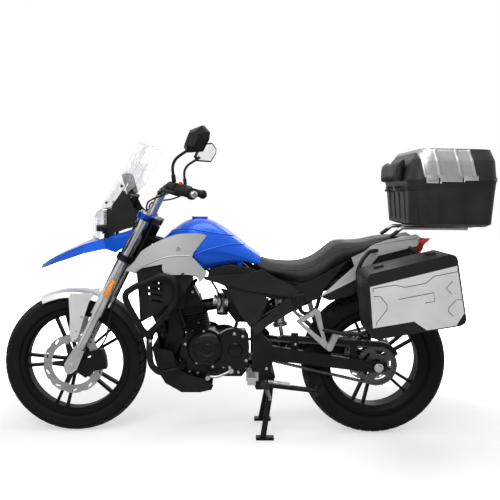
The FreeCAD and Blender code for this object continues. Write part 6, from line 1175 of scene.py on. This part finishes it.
SEAT_SIDE = [
    (508, 692), (430, 664), (350, 645), (288, 664), (218, 703), (139, 746), (182, 694), (242, 618),
    (251, 591), (304, 574), (358, 600), (420, 585), (526, 606), (640, 640), (706, 668), (700, 706),
    (625, 724), (528, 714),
]
INNER_PANEL = [(655, 627), (455, 587), (470, 533), (500, 479), (533, 469), (569, 523), (614, 572)]
STRUT_COVER = [(385, 600), (359, 618), (315, 610), (309, 570), (454, 483), (513, 433), (529, 469), (428, 546)]
LAMP_WING = [(-190, 842), (-160, 838), (-150, 800), (-124, 768), (-152, 763), (-174, 790)]
side_slab("seat_side_panels", SEAT_SIDE, 122.0, 129.0, 1.5, PLASTIC)
side_slab("side_panel_inner", INNER_PANEL, 104.0, 116.0, 2.5, PLASTIC)
side_slab("strut_covers", STRUT_COVER, 132.0, 141.0, 3.0, GREY_PLASTIC)
tail_surface = surface("tail_panels", "tail_lower_panels", "tail_lamp")
wing_hits = [from_side(tail_surface, x, z)[0] for x, z in ((-150, 820), (-140, 800), (-160, 830))]
wing_out = max(place.y * 1000 for place in wing_hits if place is not None)
side_slab("tail_lamp_wings", LAMP_WING, wing_out - 4, wing_out + 2.5, 2.0, RED)

# engine dressing

CAP = [
    (0.025, -0.004), (0.025, 0.002), (0.022, 0.0045), (0.0195, 0.0035), (0.011, 0.0035), (0.0095, 0.005),
    (0.0, 0.0055),
]
COVER = [
    (0.058, -0.006), (0.058, 0.003), (0.054, 0.007), (0.05, 0.0085), (0.034, 0.0115), (0.031, 0.01),
    (0.017, 0.0105), (0.014, 0.0135), (0.0, 0.0145),
]
HUB = [(0.03, -0.006), (0.03, 0.003), (0.027, 0.006), (0.012, 0.0075), (0.0, 0.008)]
CARBURETTOR = [
    (0.0, -0.03), (0.026, -0.03), (0.026, -0.024), (0.021, -0.022), (0.021, 0.02), (0.027, 0.024),
    (0.027, 0.032), (0.0, 0.032),
]
FLOAT_CUP = [
    (0.0, -0.034), (0.016, -0.034), (0.019, -0.03), (0.019, -0.004), (0.023, -0.004), (0.023, 0.03),
    (0.0, 0.032),
]
AIRBOX = [(622, 640), (474, 640), (466, 520), (502, 474), (590, 478), (622, 520)]
ENGINE_PLATE = [
    (902, 330), (842, 326), (806, 400), (800, 470), (822, 560), (846, 640), (880, 640), (868, 540),
    (872, 440),
]
COWL_INNER = [(900, 520), (905, 700), (800, 700), (786, 610), (800, 540)]
HOSES = (
    ([(760, 52, 640), (806, 74, 600), (820, 78, 530), (796, 84, 462)], 6.0),
    ([(650, 40, 652), (606, 72, 606), (572, 82, 545), (590, 90, 462)], 7.5),
    ([(700, 36, 660), (668, 72, 612), (648, 84, 566), (660, 70, 530)], 4.5),
    ([(760, -52, 640), (800, -74, 600), (812, -78, 530), (780, -84, 462)], 7.5),
)
CYLINDER_BOLTS = [(770, 600), (700, 590), (640, 585), (745, 470), (690, 470), (640, 470)]

for name, profile, node, (x, z), finish in (
    ("spar_caps", CAP, "side_covers", (340, 586), DARK_PLASTIC),
    ("engine_cover_caps", COVER, "engine_crankcase", (704, 387), COVER_BLACK),
    ("engine_hub_caps", HUB, "engine_crankcase", (590, 372), COVER_BLACK),
):
    tree = surface(node)
    caps = [lathe(profile, from_side(tree, x, z, side)[0], (0, side, 0), 36) for side in SIDES]
    built(name, caps, finish, smooth=35.0)
built("airbox", [slab_form(AIRBOX, beside(1), -58.0, 58.0, 8.0)], DARK_PLASTIC, smooth=30.0)
carburettor = [lathe(CARBURETTOR, at(652, 30, 560), (1, 0, 0.12)), lathe(FLOAT_CUP, at(652, 34, 548), UP)]
built("carburettor", carburettor, CAST, smooth=35.0)
side_slab("engine_plates", ENGINE_PLATE, 30.0, 38.0, 2.0, BLACK_POWDER, 30.0)
side_slab("cowl_inners", COWL_INNER, 94.0, 99.0, 1.5, DARK_PLASTIC)

CLIP_HALF = 0.004
CLIP_THICKNESS = 0.0015
CLIP_EDGE = 0.0035
hoses, clips = [], []
for route, radius in HOSES:
    wide = radius / 1000
    hoses.append(tube_form(smooth_route([at(*place) for place in route]), wide, 10))
    start, after = at(*route[1]), at(*route[2])
    outer = wide + CLIP_THICKNESS
    ring = [(wide, -CLIP_HALF), (outer, -CLIP_EDGE), (outer, CLIP_EDGE), (wide, CLIP_HALF)]
    clips.append(lathe(ring, start, after - start, 16))
built("engine_hoses", hoses, RUBBER, smooth=60.0)
built("hose_clips", clips, STEEL, smooth=40.0)
bolts("cylinder_bolts", HEX_BOLT, "engine_cylinder", CYLINDER_BOLTS, 5.5)

# springs

COIL_STEPS = 12
HOOK_SHARE = 0.12


def spring_form(start, end, radius, wire, coils):
    """A coil spring between two places, with plain hooks at its ends."""
    along = end - start
    heading = along.normalized()
    across = heading.orthogonal().normalized()
    side = heading.cross(across)
    steps = coils * COIL_STEPS
    route = [start]
    for step, share in enumerate(spread(HOOK_SHARE, 1 - HOOK_SHARE, steps)):
        turn = math.tau * step * coils / steps
        route.append(start + along * share + (across * math.cos(turn) + side * math.sin(turn)) * radius)
    return tube_form(route + [end], wire, 6)


for name, start, end, radius, wire, coils, stand in (
    ("stand_spring", at(470, 172, 262), at(352, 176, 246), 0.0065, 0.0014, 16, "side_stand"),
    ("centre_stand_spring", at(466, 96, 250), at(438, 110, 150), 0.007, 0.0015, 12, "centre_stand"),
):
    built(name, [spring_form(start, end, radius, wire, coils)], STEEL, stand, 60.0)

# camera, light and floor

PIXELS = 500
FOCAL_PIXELS = 654
SENSOR = 36
YAW, PITCH, ROLL = 0.0237, 0.082, 0.0148
CAMERA_PLACE = at(598, 2750, 1001.4)
FLOOR_REACH = 12
FLOOR_GLOW = 2.9


def turned_pair(first, second, angle):
    """Two directions square to each other, the first turned towards the second."""
    return (
        math.cos(angle) * first + math.sin(angle) * second,
        math.cos(angle) * second - math.sin(angle) * first,
    )


def set_camera():
    forward, right, up = Vector((0, -1, 0)), Vector((-1, 0, 0)), Vector(UP)
    forward, right = turned_pair(forward, right, YAW)
    forward, up = turned_pair(forward, up, -PITCH)
    right, up = turned_pair(right, up, ROLL)
    camera = placed("camera", bpy.data.cameras.new("camera"))
    camera.data.lens = SENSOR * FOCAL_PIXELS / PIXELS
    camera.data.sensor_width = SENSOR
    turn = Matrix((right, up, -forward)).transposed().to_4x4()
    camera.matrix_world = Matrix.Translation(CAMERA_PLACE) @ turn
    bpy.context.scene.camera = camera


def add_lamp(name, place, target, size, power):
    lamp = placed(name, bpy.data.lights.new(name, "AREA"))
    lamp.data.shape = "RECTANGLE"
    lamp.data.size, lamp.data.size_y = size
    lamp.data.energy = power
    lamp.location = place
    lamp.rotation_euler = (Vector(target) - Vector(place)).to_track_quat("-Z", "Y").to_euler()


def seen_share(nodes, *kinds):
    """1 for a ray of one of some kinds, else 0."""
    path = nodes.node("ShaderNodeLightPath")
    share = path.part(kinds[0])
    for kind in kinds[1:]:
        share = share.maths("MAXIMUM", path.part(kind))
    return share


def show_mix(nodes, share, under, over, output):
    """Shows one shader passing into another by a share."""
    mix = nodes.node("ShaderNodeMixShader", None, share, Value(nodes, under.outputs[0]), over)
    nodes.give(nodes.tree.nodes[output].inputs[0], mix)


def set_world(strength):
    """Soft light all round, from a background that is seen as plain white."""
    world = bpy.data.worlds.new("studio")
    bpy.context.scene.world = world
    world.use_nodes = True
    studio = Nodes(world.node_tree)
    soft = studio.tree.nodes["Background"]
    soft.inputs["Strength"].default_value = strength
    white = studio.node("ShaderNodeBackground", None, (1, 1, 1))
    share = seen_share(studio, "Is Camera Ray", "Is Transmission Ray", "Is Glossy Ray")
    show_mix(studio, share, soft, white, "World Output")


def set_floor():
    """A pale floor that keeps the shadow under the wheels and goes white further out."""
    corners = [(x * FLOOR_REACH, y * FLOOR_REACH, 0) for x, y in ((-1, -1), (1, -1), (1, 1), (-1, 1))]
    floor = placed("floor", mesh_of("floor", corners, [(0, 1, 2, 3)]))
    pale = Shader("floor_pale", Roughness=0.9, Specular_IOR_Level=0.0)
    pale.feed("Base Color", pale.blend(pale.noise(3.0), (0.8, 0.8, 0.8), (0.82, 0.82, 0.82)))
    glow = pale.node("ShaderNodeEmission", None, (1, 1, 1), FLOOR_GLOW)
    across, side, _ = pale.axes()
    away = (across * across * 0.4 + side * side).maths("POWER", 0.5)
    share = seen_share(pale, "Is Camera Ray", "Is Transmission Ray") * (away.above(1.3, 0.6) * 0.8 + 0.2)
    show_mix(pale, share, pale.surface, glow, "Material Output")
    floor.data.materials.append(pale.material)


set_camera()
set_world(0.55)
set_floor()
add_lamp("key_lamp", (0.6, 2.6, 2.6), (0, 0, 0.6), (2.6, 1.6), 62)
add_lamp("top_lamp", (-0.2, 0.2, 3.2), (0, 0, 0.5), (3.0, 1.4), 55)
add_lamp("fill_lamp", (-1.8, -2.4, 1.8), (0, 0, 0.6), (2.0, 2.0), 30)
scene = bpy.context.scene
scene.view_settings.view_transform = "Standard"
